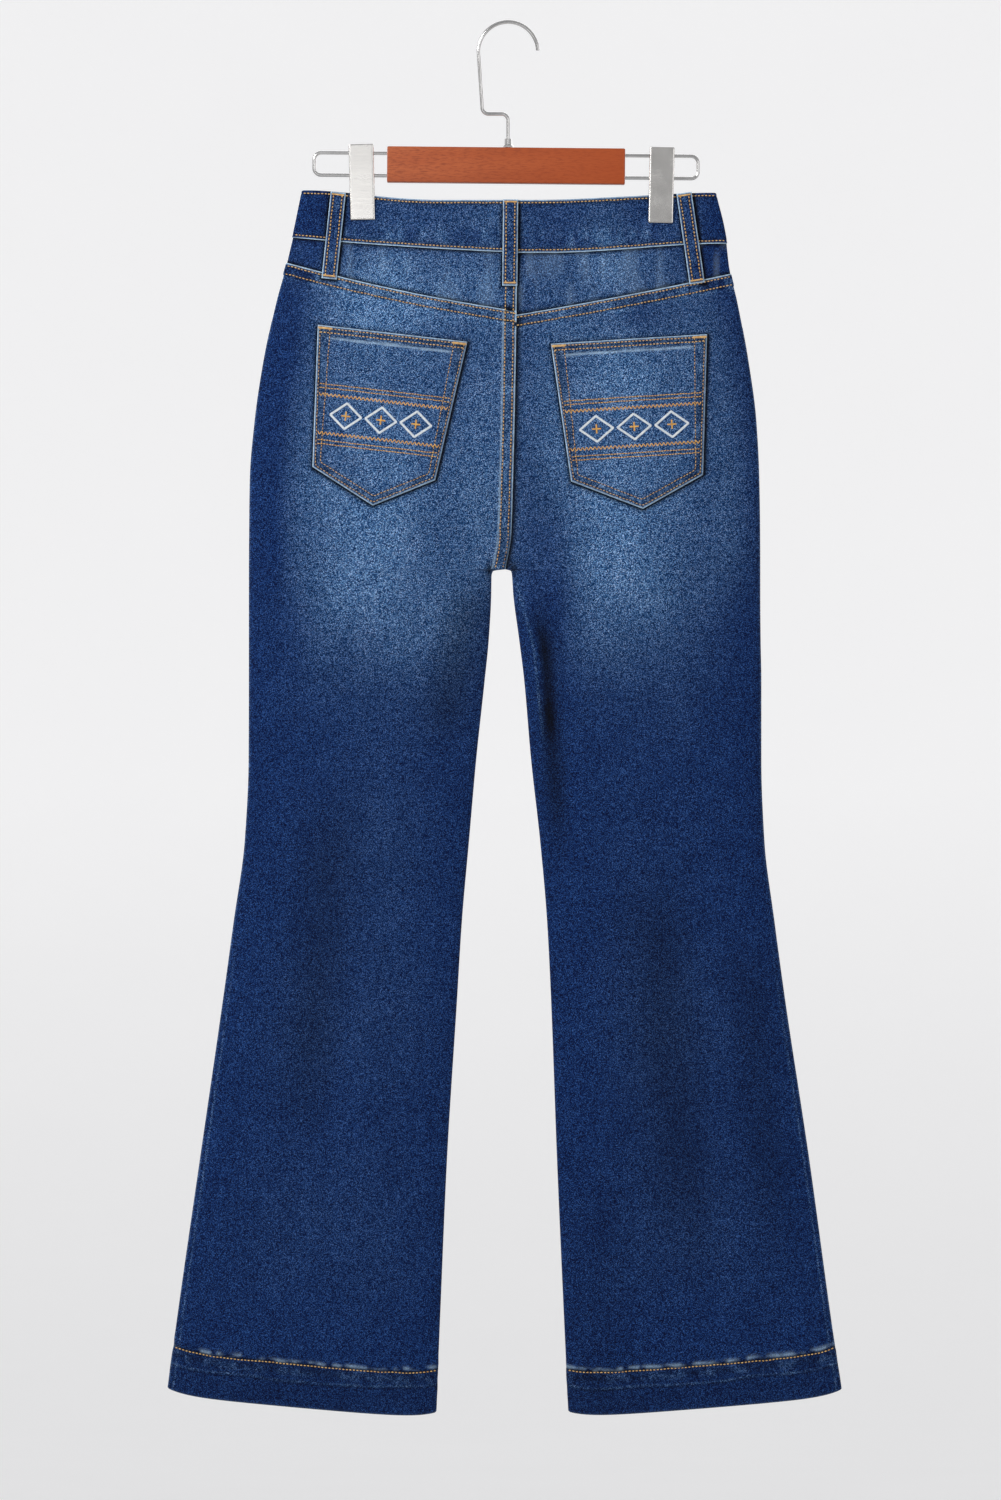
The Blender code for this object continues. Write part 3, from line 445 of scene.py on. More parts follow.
def wash(side, x, drop):
    """0 for raw indigo, 1 for the palest part of the seat."""
    share = np.clip(share_at(side, x, drop), 0.0, 1.0)
    ragged = 14.0 * value_noise(x, drop, 26.0, 60.0, 31, 400.0) * ease((drop - 440.0) / 60.0)
    down = through(drop - ragged, *zip(*WASH_DOWN))
    above, below = (through(share, *zip(*table[side])) for table in (WASH_ACROSS, LEG_ACROSS))
    cloudy = 1.0 + 0.16 * value_noise(x, drop, 30.0, 44.0, 32, 400.0)
    amount = down * (above + (below - above) * ease((drop - LEG_WASH_DROP) / LEG_WASH_BLEND)) * cloudy
    for patch in PATCHES:
        near = bell(x - patch.x, patch.half_width) * bell(drop - patch.drop, patch.half_height)
        amount = amount + patch.amount * near
    return np.clip(amount, 0.0, MOST_WASHED)


EDGE_WIDTH = 0.85  # how much of a folded edge is worn pale
EDGE_FADE = 0.86  # and how pale it is, of 1
CENTRE_FADE = 0.90


def worn_edge(distance, width, x, drop, seed=41):
    """How light a folded edge is at this distance from it, unevenly along its length."""
    patchy = 0.92 + 0.30 * value_noise(x, drop, 4.0, 4.0, seed, 400.0)
    return np.clip(np.exp(-((distance / width) ** 4)) * patchy, 0.0, 1.0)


def wear_and_shade_of(washed, light=0.0, dark=0.0):
    """A point's wash, worn pale edges and darkening as one array. The darkening is mostly painted shade in
    hollows, along stitching and beside raised edges.
    """
    light, dark = (np.broadcast_to(np.clip(amount, 0.0, 1.0), washed.shape) for amount in (light, dark))
    return np.stack([washed, light, dark], axis=-1)


# Painted contact shadow beside the back pockets and belt loops, darkest beside the edges that face away from
# the light.
SHADE_REACH = 9.0
SHADE_POWER = 4.4  # the material raises what beside() gives to this power
MOST_SHADE = 1.8  # what it gives well beneath a piece
POCKET_SHADE = (0.9, 1.3, 1.9, 1.9, 1.3)  # how dark the painted shadow is beside each edge of a back pocket
LOOP_SHADE = 1.3
AWAY_SHADE = 2.4  # and beside the edges that face away from the light


def beside(side, x, drop):
    """Painted contact shadow on the cloth close beside the back pocket and the belt loops: 1 at their edges,
    0 at the reach.
    """

    def shade(away, strength):
        return np.clip(1.0 - away / SHADE_REACH, 0.0, MOST_SHADE) * strength ** (1.0 / SHADE_POWER)

    outside = np.stack([side * signed_distance(x, drop, edge) for edge in pocket_edges(POCKETS[side])])
    strength = np.array(POCKET_SHADE)
    strength[AWAY_EDGE[side]] = AWAY_SHADE
    nearest = shade(np.max(outside, axis=0), strength[np.argmax(outside, axis=0)])
    for loop in LOOPS.values():
        if loop.face == BACK:
            t = (drop - loop.drop_top) / (loop.drop_low - loop.drop_top)
            off = x - loop.x_top - (loop.x_low - loop.x_top) * t
            away = np.maximum(np.abs(off) - LOOP_WIDTH / 2, np.maximum(drop - loop.drop_low, 0.0))
            nearest = np.maximum(nearest, shade(away, np.where(off > 0.0, AWAY_SHADE, LOOP_SHADE)))
    return nearest


# ---------------------------------------------------------------- making meshes


def link(made):
    bpy.context.scene.collection.objects.link(made)
    return made


def placed(made, slot, *nodes):
    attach(made, "root")
    if nodes:
        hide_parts(*nodes)
    return made


def grid_quads(rows, columns, first=0, flip=False):
    r, c = np.meshgrid(np.arange(rows - 1), np.arange(columns - 1), indexing="ij")
    corner = (first + r * columns + c).ravel()
    quads = np.stack([corner, corner + 1, corner + columns + 1, corner + columns], axis=1)
    return quads[:, ::-1] if flip else quads


def signed_volume(points, quads):
    a, b, c, d = (points[quads[:, k]] for k in range(4))
    return np.einsum("ij,ij->", a, np.cross(b, c)) + np.einsum("ij,ij->", a, np.cross(c, d))


SHEETS = []  # the cloth pieces, in the order in which they are made
FLAT = {}  # the flat sizes, in millimetres, of sheets whose boxes don't give them


def shell(node, outer, inner, wear_and_shade, cloth, shade=None):
    """A cut piece as a closed wall between two grids of points in millimetres. It replaces its solid.

    Each outer point is given its wash, worn pale edges and painted shade, its place in the weave, and the
    painted contact shadow that beside() gives.
    """
    rows, columns = outer.shape[:2]
    count = rows * columns
    index = np.arange(count).reshape(rows, columns)
    edge = np.concatenate([index[:, 0], index[-1, 1:], index[-2::-1, -1], index[0, -2:0:-1]])
    following = np.roll(edge, -1)
    rim = np.stack([edge, following, following + count, edge + count], axis=1)
    quads = np.concatenate([grid_quads(rows, columns), grid_quads(rows, columns, count, flip=True), rim])
    points = np.concatenate([outer.reshape(-1, 3), inner.reshape(-1, 3)]) * MM
    if signed_volume(points, quads) < 0:
        quads = quads[:, ::-1]
    mesh = bpy.data.meshes.new(f"{node}_cloth")
    mesh.from_pydata(points.tolist(), [], quads.tolist())
    colour = np.zeros((2, count, 4), np.float32)
    colour[:, :, :3] = wear_and_shade.reshape(-1, 3)
    colour[1, :, 3] = 1.0  # the cloth's paler inner face
    mesh.color_attributes.new("wear_and_shade", "FLOAT_COLOR", "POINT").data.foreach_set("color", colour.ravel())
    if shade is not None:
        values = np.concatenate([shade.ravel(), np.zeros(count)]).astype(np.float32)
        mesh.attributes.new("beside", "FLOAT", "POINT").data.foreach_set("value", values)
    places = np.concatenate([cloth.reshape(-1, 2)] * 2).astype(np.float32)
    corners = np.empty(len(mesh.loops), np.int32)
    mesh.loops.foreach_get("vertex_index", corners)
    mesh.uv_layers.new(name="cloth").data.foreach_set("uv", places[corners].ravel())
    mesh.materials.append(DENIM_LOOK)
    mesh.shade_smooth()
    SHEETS.append(placed(link(bpy.data.objects.new(f"{node}_cloth", mesh)), "denim", node))


def lines(*stretches):
    """Grid lines from (start, end, spacing) stretches that follow on from each other."""
    made = [np.linspace(a, b, max(2, int(round(abs(b - a) / step)) + 1)) for a, b, step in stretches]
    return np.unique(np.round(np.concatenate(made), 4))


def edge_profile(distance, height, radius):
    """The height of a rounded edge at this distance from it."""
    t = np.clip(distance / radius, 0.0, 1.0)
    return height * np.sqrt(1.0 - (1.0 - t) ** 2)


# ---------------------------------------------------------------- materials


class Nodes:
    """Short calls for building one material's nodes."""

    def __init__(self, name):
        self.material = bpy.data.materials.new(name)
        self.material.use_nodes = True
        self.tree = self.material.node_tree
        self.shader = self.tree.nodes["Principled BSDF"]

    def add(self, kind, **settings):
        node = self.tree.nodes.new(kind)
        for key, value in settings.items():
            setattr(node, key, value)
        return node

    def link(self, source, target):
        self.tree.links.new(source, target)

    def put(self, target, value):
        if hasattr(value, "links"):
            self.link(value, target)
        else:
            target.default_value = value

    def math(self, operation, a, b=0.0, clamp=False):
        node = self.add("ShaderNodeMath", operation=operation, use_clamp=clamp)
        self.put(node.inputs[0], a)
        self.put(node.inputs[1], b)
        return node.outputs[0]

    def mix(self, factor, a, b, blend="MIX"):
        node = self.add("ShaderNodeMix", data_type="RGBA", blend_type=blend)
        self.put(node.inputs[0], factor)
        self.put(node.inputs[6], a)
        self.put(node.inputs[7], b)
        return node.outputs[2]

    def scaled(self, vector, scale):
        node = self.add("ShaderNodeMapping")
        self.link(vector, node.inputs["Vector"])
        node.inputs["Scale"].default_value = scale
        return node.outputs[0]

    def noise(self, vector, scale, detail=2.0, roughness=0.5):
        node = self.add("ShaderNodeTexNoise")
        self.link(vector, node.inputs["Vector"])
        node.inputs["Scale"].default_value = scale
        node.inputs["Detail"].default_value = detail
        node.inputs["Roughness"].default_value = roughness
        return node.outputs["Fac"]

    def spread(self, value, low, high, to_low=0.0, to_high=1.0):
        node = self.add("ShaderNodeMapRange")
        self.link(value, node.inputs["Value"])
        for key, number in (("From Min", low), ("From Max", high), ("To Min", to_low), ("To Max", to_high)):
            node.inputs[key].default_value = number
        return node.outputs["Result"]

    def bump(self, height, strength, distance):
        node = self.add("ShaderNodeBump")
        self.link(height, node.inputs["Height"])
        node.inputs["Strength"].default_value = strength
        node.inputs["Distance"].default_value = distance
        self.link(node.outputs[0], self.shader.inputs["Normal"])

    def set(self, **values):
        for key, value in values.items():
            self.shader.inputs[key.replace("_", " ")].default_value = value


INDIGO = (0.0058, 0.0242, 0.0985, 1.0)
WASHED = (0.0860, 0.1640, 0.3120, 1.0)
ABRADED = (0.5800, 0.7900, 0.9900, 1.0)
SPECKLE = (1.5, 1.0, 0.70)  # how far red, green and blue follow a float's dye
LEVEL = (0.275, 0.555, 0.775)  # and what evens out their means
REVERSE = (0.1500, 0.2000, 0.2900, 1.0)
YARN = (0.58, 0.48)  # one visible yarn float, in millimetres


def denim_material():
    """Warp-faced twill: dark indigo, washed and abraded by a point attribute that also carries painted shade,
    darkened further by painted contact shadow, paler on its reverse.
    """
    n = Nodes("denim")
    place = n.add("ShaderNodeUVMap", uv_map="cloth").outputs[0]
    wear_and_shade = n.add("ShaderNodeAttribute", attribute_name="wear_and_shade")
    parts = n.add("ShaderNodeSeparateColor")
    n.link(wear_and_shade.outputs["Color"], parts.inputs[0])
    wash_amount, edge_amount, dark_amount = parts.outputs
    reverse_amount = wear_and_shade.outputs["Alpha"]

    # Each yarn float keeps its own share of dye, in rows that step along as a twill's do.
    across = n.add("ShaderNodeSeparateXYZ")
    n.link(place, across.inputs[0])
    row = n.math("FLOOR", n.math("DIVIDE", across.outputs["Y"], YARN[1]))
    stepped = n.math("ADD", n.math("DIVIDE", across.outputs["X"], YARN[0]), n.math("MULTIPLY", row, 0.37))
    cell = n.add("ShaderNodeCombineXYZ")
    n.link(n.math("FLOOR", stepped), cell.inputs["X"])
    n.link(row, cell.inputs["Y"])
    float_dye = n.add("ShaderNodeTexWhiteNoise", noise_dimensions="2D")
    n.link(cell.outputs[0], float_dye.inputs["Vector"])
    slub = n.noise(n.scaled(place, (0.80, 0.045, 1.0)), 1.0, 2.0, 0.6)
    grain = n.noise(n.scaled(place, (0.80, 0.70, 1.0)), 1.0, 2.0, 0.65)
    cloud = n.noise(n.scaled(place, (0.035, 0.02, 1.0)), 1.0, 3.0, 0.55)
    mottle = n.noise(n.scaled(place, (0.13, 0.10, 1.0)), 1.0, 2.0, 0.6)
    stops = n.math("MULTIPLY", n.math("SUBTRACT", float_dye.outputs["Value"], 0.5), 6.0)
    for source, amount in ((grain, 0.7), (slub, 0.7), (cloud, 0.9), (mottle, 0.8)):
        stops = n.math("ADD", stops, n.math("MULTIPLY", n.math("SUBTRACT", source, 0.5), amount))
    # Pale floats are greyer and dark ones bluer, as the undyed weft shows through.
    speckle = n.add("ShaderNodeCombineXYZ")
    for axis, share in zip("XYZ", SPECKLE):
        n.link(n.math("POWER", 2.0, n.math("MULTIPLY", stops, share)), speckle.inputs[axis])
    dyed = n.add("ShaderNodeVectorMath", operation="MULTIPLY")
    n.link(n.mix(wash_amount, INDIGO, WASHED), dyed.inputs[0])
    n.link(speckle.outputs[0], dyed.inputs[1])
    # Painted contact shadow from beside() and the attribute's painted shade darken the dyed colour.
    beside_edge = n.add("ShaderNodeAttribute", attribute_name="beside")
    hollow = n.math("MINIMUM", n.math("POWER", beside_edge.outputs["Fac"], SHADE_POWER), 1.0)
    hollow = n.math("MAXIMUM", dark_amount, hollow)
    shade = n.math("SUBTRACT", 1.0, n.math("MULTIPLY", hollow, 0.92))
    levelled = n.add("ShaderNodeVectorMath", operation="MULTIPLY")
    n.link(dyed.outputs[0], levelled.inputs[0])
    levelled.inputs[1].default_value = LEVEL
    dimmed = n.add("ShaderNodeVectorMath", operation="SCALE")
    n.link(levelled.outputs[0], dimmed.inputs[0])
    n.link(shade, dimmed.inputs["Scale"])
    abraded = n.math("MULTIPLY", edge_amount, n.spread(grain, 0.32, 0.60, 0.60, 1.05), clamp=True)
    colour = n.mix(abraded, dimmed.outputs[0], ABRADED)
    reverse = n.mix(n.spread(grain, 0.35, 0.65), REVERSE, (0.08, 0.12, 0.20, 1.0))
    colour = n.mix(reverse_amount, colour, reverse)
    n.link(colour, n.shader.inputs["Base Color"])

    height = n.math("MULTIPLY", float_dye.outputs["Value"], 0.5)
    height = n.math("ADD", height, n.math("MULTIPLY", grain, 0.9))
    height = n.math("ADD", height, n.math("MULTIPLY", slub, 0.5))
    n.bump(height, 0.5, 0.0003)
    n.link(n.spread(grain, 0.3, 0.7, 0.80, 0.95), n.shader.inputs["Roughness"])
    n.set(Specular_IOR_Level=0.12, Sheen_Weight=0.03, Sheen_Roughness=0.5)
    return n.material


def thread_material(name, colour, dark, gloss=0.5):
    n = Nodes(name)
    place = n.add("ShaderNodeTexCoord").outputs["Object"]
    tone = n.noise(place, 420.0, 2.0, 0.6)
    n.link(n.mix(n.spread(tone, 0.35, 0.65), (*dark, 1.0), (*colour, 1.0)), n.shader.inputs["Base Color"])
    twist = n.noise(place, 2600.0, 1.0, 0.5)
    n.bump(twist, 0.5, 0.0001)
    n.set(Roughness=gloss, Sheen_Weight=0.15)
    return n.material


def wood_material():
    """Red-brown stained wood with fine short pores along the bar, under a satin lacquer."""
    n = Nodes("stained_wood")
    place = n.add("ShaderNodeTexCoord").outputs["Object"]
    pores = n.noise(n.scaled(place, (160.0, 900.0, 900.0)), 1.0, 3.0, 0.65)
    figure = n.noise(n.scaled(place, (9.0, 60.0, 75.0)), 1.0, 4.0, 0.55)
    broad = n.noise(n.scaled(place, (5.0, 12.0, 14.0)), 1.0, 2.0, 0.5)
    light = (0.530, 0.136, 0.046, 1.0)
    middle = (0.425, 0.096, 0.031, 1.0)
    dark = (0.215, 0.042, 0.015, 1.0)
    colour = n.mix(n.spread(figure, 0.35, 0.68), middle, light)
    colour = n.mix(n.spread(pores, 0.46, 0.68, 0.0, 0.75), colour, dark)
    colour = n.mix(n.spread(broad, 0.45, 0.75, 0.0, 0.35), colour, dark)
    along = n.add("ShaderNodeSeparateXYZ")
    n.link(place, along.inputs[0])
    # Painted shade: deeper, more saturated red towards the bar's right end, where less highlight falls.
    colour = n.mix(n.spread(along.outputs["X"], -0.1, 0.1, 0.0, 0.75), colour, (0.390, 0.060, 0.008, 1.0))
    n.link(colour, n.shader.inputs["Base Color"])
    n.link(n.spread(pores, 0.4, 0.7, 0.36, 0.52), n.shader.inputs["Roughness"])
    n.bump(pores, 0.25, 0.0002)
    n.set(Coat_Weight=0.10, Coat_Roughness=0.25, Specular_IOR_Level=0.3)
    return n.material


def metal_material(name, colour, roughness, brushed, scratch=(60.0, 60.0, 1400.0)):
    """Plated metal with a fine grain and a little cloudiness."""
    n = Nodes(name)
    place = n.add("ShaderNodeTexCoord").outputs["Object"]
    lay = n.noise(n.scaled(place, scratch), 1.0, 2.0, 0.6)
    cloud = n.noise(place, 55.0, 3.0, 0.6)
    tint = tuple(c * 0.86 for c in colour)
    n.link(n.mix(n.spread(cloud, 0.35, 0.65), (*tint, 1.0), (*colour, 1.0)), n.shader.inputs["Base Color"])
    rough = n.math("ADD", n.spread(lay, 0.3, 0.7, -brushed, brushed), n.spread(cloud, 0.3, 0.7, -0.02, 0.04))
    n.link(n.math("ADD", rough, roughness), n.shader.inputs["Roughness"])
    n.bump(lay, 0.05, 0.00004)
    n.set(Metallic=1.0)
    return n.material


DENIM_LOOK = denim_material()
GOLD = thread_material("golden_thread", (0.84, 0.52, 0.19), (0.54, 0.29, 0.09))
GOLD_BRIGHT = thread_material("golden_embroidery", (0.86, 0.50, 0.12), (0.58, 0.28, 0.06), 0.42)
WHITE = thread_material("white_embroidery", (0.80, 0.84, 0.86), (0.62, 0.68, 0.74), 0.42)
# Painted shade: near-black beads standing for the shade in the needle holes.
NEEDLE_HOLE_SHADE = thread_material("needle_hole_shade", (0.008, 0.012, 0.028), (0.004, 0.006, 0.014), 0.9)
WOOD = wood_material()
NICKEL = metal_material("satin_nickel", (0.89, 0.87, 0.84), 0.24, 0.02)
STEEL = metal_material("polished_steel", (0.78, 0.77, 0.76), 0.14, 0.03, (900.0, 900.0, 60.0))
BRASS = metal_material("antique_brass", (0.50, 0.33, 0.15), 0.36, 0.05)


# ---------------------------------------------------------------- denim pieces

CENTRE_BAND = lines((0.0, 0.6, 0.3), (0.6, 2.4, 0.9), (2.4, 9.0, 1.6), (9.0, 11.4, 0.5), (11.4, 14.0, 1.3))
MAIN_COLUMNS = 96
COLUMNS = MAIN_COLUMNS + len(CENTRE_BAND) - 1


def row_shares(side, drops):
    """Shares across a panel along one row: columns crowded at the folds, then lines along the centre seam."""
    drops = np.broadcast_to(np.asarray(drops, float), (COLUMNS,))
    width = half_width(side, drops)
    limit = 1.0 - CENTRE_BAND[-1] / width[:MAIN_COLUMNS]
    main = share_across(np.linspace(0.0, 1.0, MAIN_COLUMNS), drops[:MAIN_COLUMNS]) * limit
    return np.concatenate([main, 1.0 - CENTRE_BAND[::-1][1:] / width[MAIN_COLUMNS:]])


def grain_across(side, share, drop):
    """Place across the weave, which follows the leg's own line."""
    width = 0.5 * (half_width(side, drop) + 225.0)
    return side * (1.0 - share) * width + 500.0


# Measured from a felled seam's folded edge: its stitch rows, and where the turned edge inside shows through.
FELL_STITCHES = (2.4, 9.4)
YOKE_FELL_SHOWS, CENTRE_FELL_SHOWS = 11.7, 11.3


def centre_fell(side, distance, drop):
    """The left back panel's felled centre seam, which fades out below the crotch."""
    if side == RIGHT:
        return np.zeros_like(distance)
    raised = edge_profile(distance, FELL_RAISE, 0.9) * (1.0 - ease((distance - 9.6) / 1.6))
    return raised * (1.0 - ease((drop - CROTCH_DROP + 2.0) / 5.0))


def puckers(distance, along, seed, reach=5.0, height=0.22, pitch=7.0):
    """Small gathers that sewing leaves beside a seam."""
    return height * value_noise(along, distance * 0.2, pitch, 4.0, seed) * bell(distance, reach)


def gathered(washed, dark, from_edge, along, seed, amount=1.0):
    """Adds a felled band's faded gathers across it, with painted shade in the hollows between them and in the
    grooves under its stitches.
    """
    band = ease((from_edge - 0.6) / 1.4) * (1.0 - ease((from_edge - 10.2) / 1.4)) * amount
    ripple = value_noise(along, from_edge, 2.9, 9.0, seed)
    washed += np.clip(ripple, 0.0, 1.0) * 0.60 * band
    dark += (0.15 - 0.24 * ripple) * band
    dark += sum(bell(from_edge - row, 0.9) for row in FELL_STITCHES) * 0.40 * amount


LEG_ROWS = {
    BACK: lines((0.0, 0.6, 0.2), (0.6, 1.8, 0.6), (1.8, 9.0, 1.8), (9.0, 12.0, 0.6), (12.0, 24.0, 3.0)),
    FRONT: lines((0.0, 0.6, 0.3), (0.6, 1.8, 0.6), (1.8, 9.0, 1.8), (9.0, 24.0, 3.0)),
}
HEM_LINE = 36.5  # the hem's stitching, above its edge
HEM_ROWS = lines(
    (0.0, 0.5, 0.25), (0.5, 1.5, 0.5), (1.5, 18.0, 2.4), (18.0, 28.0, 0.8), (28.0, 34.0, 1.5),
    (34.0, 42.0, 0.67), (42.0, 60.0, 2.4),
)
TOP_LEVEL, LOW_LEVEL = 240.0, 1190.0  # drops whose columns stand for those of a panel's top and hem
LEVEL_REACH = 200.0  # a panel's rows turn from its seam's slope to level over this length
Places = namedtuple("Places", "x drop share to_side to_centre from_top above_edge")


def leg_places(face, side):
    """Where each point of a leg panel lies, row by row from the top edge to the hem."""
    top = panel_top(face, side, row_shares(side, TOP_LEVEL))
    low = hem_drop(face, side, row_shares(side, LOW_LEVEL))
    top_level, low_level = float(np.mean(top)), float(np.mean(low))
    first = top_level + LEG_ROWS[face][-1]
    last = low_level - HEM_ROWS[-1]
    near_crotch = (425.0, 464.0, 3.0), (464.0, 467.0, 1.0), (467.0, 473.0, 0.5), (473.0, 492.0, 1.4)
    middle = lines((first, 425.0, 3.6), *near_crotch, (492.0, last, 5.6))
    middle = np.unique(np.append(middle, CROTCH_DROP))
    level = np.concatenate([top_level + LEG_ROWS[face], middle[1:-1], low_level - HEM_ROWS[::-1]])[:, None]
    down = ease((level - top_level) / LEVEL_REACH)
    up = ease((low_level - level) / LEVEL_REACH)
    drop = level + (top - top_level) * (1.0 - down) + (low - low_level) * (1.0 - up)
    share = np.stack([row_shares(side, row) for row in drop])
    width = half_width(side, drop)
    to_side, to_centre = share * width, (1.0 - share) * width
    return Places(x_at(side, share, drop), drop, share, to_side, to_centre, drop - top, low - drop)


def hem_rope(face, x, above_edge):
    """The slanting ridges of a roped hem, -1 to 1."""
    return value_noise(x + 0.7 * above_edge, above_edge, 8.5, 60.0, 51 if face == BACK else 52)


def leg_relief(face, side, at):
    """How far a leg panel's seams, gathers and roped hem stand off its plain surface."""
    if face == BACK:
        fell = edge_profile(at.from_top, FELL_RAISE + 0.1, 0.9) * (1.0 - ease((at.from_top - 9.4) / 1.8))
        out = np.maximum(fell, centre_fell(side, at.to_centre, at.drop))
        out += puckers(np.abs(at.from_top - 6.0), at.x, 61)
        sewn = (at.drop < CROTCH_DROP) * (at.to_centre > 0.4)
        out += puckers(np.abs(at.to_centre - 6.0), at.drop, 62) * sewn
    else:
        out = edge_profile(at.from_top, 0.25, 0.8) * ease((SCOOP_SHARE + 0.03 - at.share) / 0.03)
        out += puckers(np.abs(at.from_top - 5.0), at.x, 63)
    above_line = at.above_edge - HEM_LINE
    roped = bell(above_line - 2.5, 6.0) + 0.55 * bell(at.above_edge - 24.0, 12.0)
    out += 0.62 * hem_rope(face, at.x, at.above_edge) * roped
    # The turned-up edge inside shows as a soft step, and the stitching pulls a groove.
    out -= 0.30 * bell(above_line, 1.3)
    out += 0.22 * (1.0 - ease(above_line / 1.5)) * ease(at.above_edge / 2.0)
    return out


PARTING_REACH = 16.0  # the step in depth where the legs part is evened out this far up and down


def softened(grid, side, face, at, out):
    """Eases the step in depth where the legs part, except beside the centre seam."""
    x = grid[..., 0]
    amount = 1.0 - ease((np.abs(at.drop - CROTCH_DROP) - PARTING_REACH) / 10.0)
    levels = [at.drop + d for d in np.linspace(-PARTING_REACH, PARTING_REACH, 9)]
    depths = [surface(side, face, share_at(side, x, level), level, out)[..., 1] for level in levels]
    grid[..., 1] += (np.mean(depths, axis=0) - grid[..., 1]) * amount * ease((at.to_centre - 12.0) / 10.0)


# The crease that runs down the right leg from the crotch: drop, x.
CROTCH_CREASE = ((470.0, 3.0), (478.0, 6.0), (512.0, 15.6), (538.0, 22.0), (573.0, 25.6), (640.0, 33.0))


def wear_and_shade_back_seams(side, at, washed, light, dark):
    """Adds the worn fading and painted shade along a back panel's yoke seam and centre seam, and painted
    shade round the end of the crotch.
    """
    x, drop, from_top, to_centre = at.x, at.drop, at.from_top, at.to_centre
    light += worn_edge(from_top, EDGE_WIDTH, x, drop) * EDGE_FADE
    broken = np.clip(0.5 + value_noise(x, 0.0, 9.0, 9.0, 55), 0.0, 1.0)
    washed += worn_edge(from_top - YOKE_FELL_SHOWS, 0.9, x, drop, 42) * 0.40 * broken
    washed += 0.05 * bell(from_top - 16.0, 6.0)
    gathered(washed, dark, from_top, x, 66)
    seam = drop < CROTCH_DROP
    if side == LEFT:
        # Painted shade in the notch where the centre seam ends.
        dark += 0.85 * bell(x + 16.0, 3.2) * bell(drop - 469.0, 5.5)
        light += worn_edge(to_centre, EDGE_WIDTH, x, drop, 43) * CENTRE_FADE * seam
        light += worn_edge(to_centre - CENTRE_FELL_SHOWS, 0.9, x, drop, 44) * 0.34 * seam
        gathered(washed, dark, to_centre, drop, 67, seam * 0.85)
    else:
        # Painted shadow beside the left panel's overlapping centre seam.
        dark += 1.1 * bell(to_centre, 3.7) * seam
        # Painted shade in the notch at the crotch's end. A crease runs down from the crotch, its ridge faded
        # and painted shade in the hollow beside it.
        dark += 0.85 * bell(x - 5.0, 3.0) * bell(drop - 468.0, 6.0)
        ridge = through(drop, *zip(*CROTCH_CREASE))
        faded = ease((drop - 474.0) / 10.0) * (1.0 - ease((drop - 590.0) / 40.0))
        washed += 0.34 * faded * worn_edge(x - ridge, 1.1, x, drop, 49)
        dark += 0.46 * faded * bell(x - ridge - 7.0, 6.0) * ease((drop - 490.0) / 40.0)


def wear_and_shade_hem(at, washed, light, dark):
    """Adds faded ridges above the hem's stitching, a faded line over its inner edge, and painted shade in its
    hollows, under its stitching and beside its pressed inner edge.
    """
    x, above_edge = at.x, at.above_edge
    blotch = np.clip(value_noise(x + 0.5 * above_edge, above_edge, 4.6, 7.0, 53) * 1.5 + 0.35, 0.0, 1.0)
    sway = 1.6 * value_noise(x, 0.0, 34.0, 9.0, 54)
    pressed = above_edge - 23.6 - sway
    roped = blotch * bell(above_edge - HEM_LINE - 3.0 - 0.5 * sway, 1.5)
    light += roped * 0.30 + 0.10 * bell(above_edge, 0.9)
    washed += roped * 0.45 + 0.42 * bell(pressed, 0.9) * (0.35 + 0.65 * blotch)
    washed += 0.26 * blotch * bell(above_edge - 31.0, 4.0)
    dark += 0.65 * bell(above_edge - HEM_LINE - 0.9, 1.0) + 0.30 * bell(pressed + 1.6, 1.0)
    dark += 0.30 * (1.0 - blotch) * bell(above_edge - 32.0, 4.0)


def leg_wear_and_shade(face, side, at):
    x, drop = at.x, at.drop
    washed = wash(side, x, drop) * (0.85 if face == FRONT else 1.0)
    light = np.zeros_like(drop)
    dark = 0.24 * np.clip(-folds(x, drop, face), 0.0, 3.0)  # painted shade in the folds' hollows
    # Painted shade low on the right leg's inner side; the hem is also darker over its turned-up band.
    dark += 0.20 * bell(x - 78.0, 30.0) * bell(drop - 1090.0, 110.0)
    dark += 0.20 * (1.0 - ease((at.above_edge - 38.0) / 6.0))
    if face == BACK:
        wear_and_shade_back_seams(side, at, washed, light, dark)
    else:
        light += worn_edge(at.from_top, 0.8, x, drop) * 0.7 * (at.share < SCOOP_SHARE)
        # Painted shade along the stitching below the waist seam.
        dark += bell(at.from_top - 5.0, 3.5) * 0.35
    wear_and_shade_hem(at, washed, light, dark)
    # The outseam's allowance presses faint pale lines through beside the side fold.
    washed += 0.34 * worn_edge(at.to_side - 4.6, 0.8, x, drop, 45) * ease((drop - 700.0) / 300.0)
    washed += 0.30 * worn_edge(at.to_side, 1.2, x, drop, 46)
    return wear_and_shade_of(washed, light, dark)


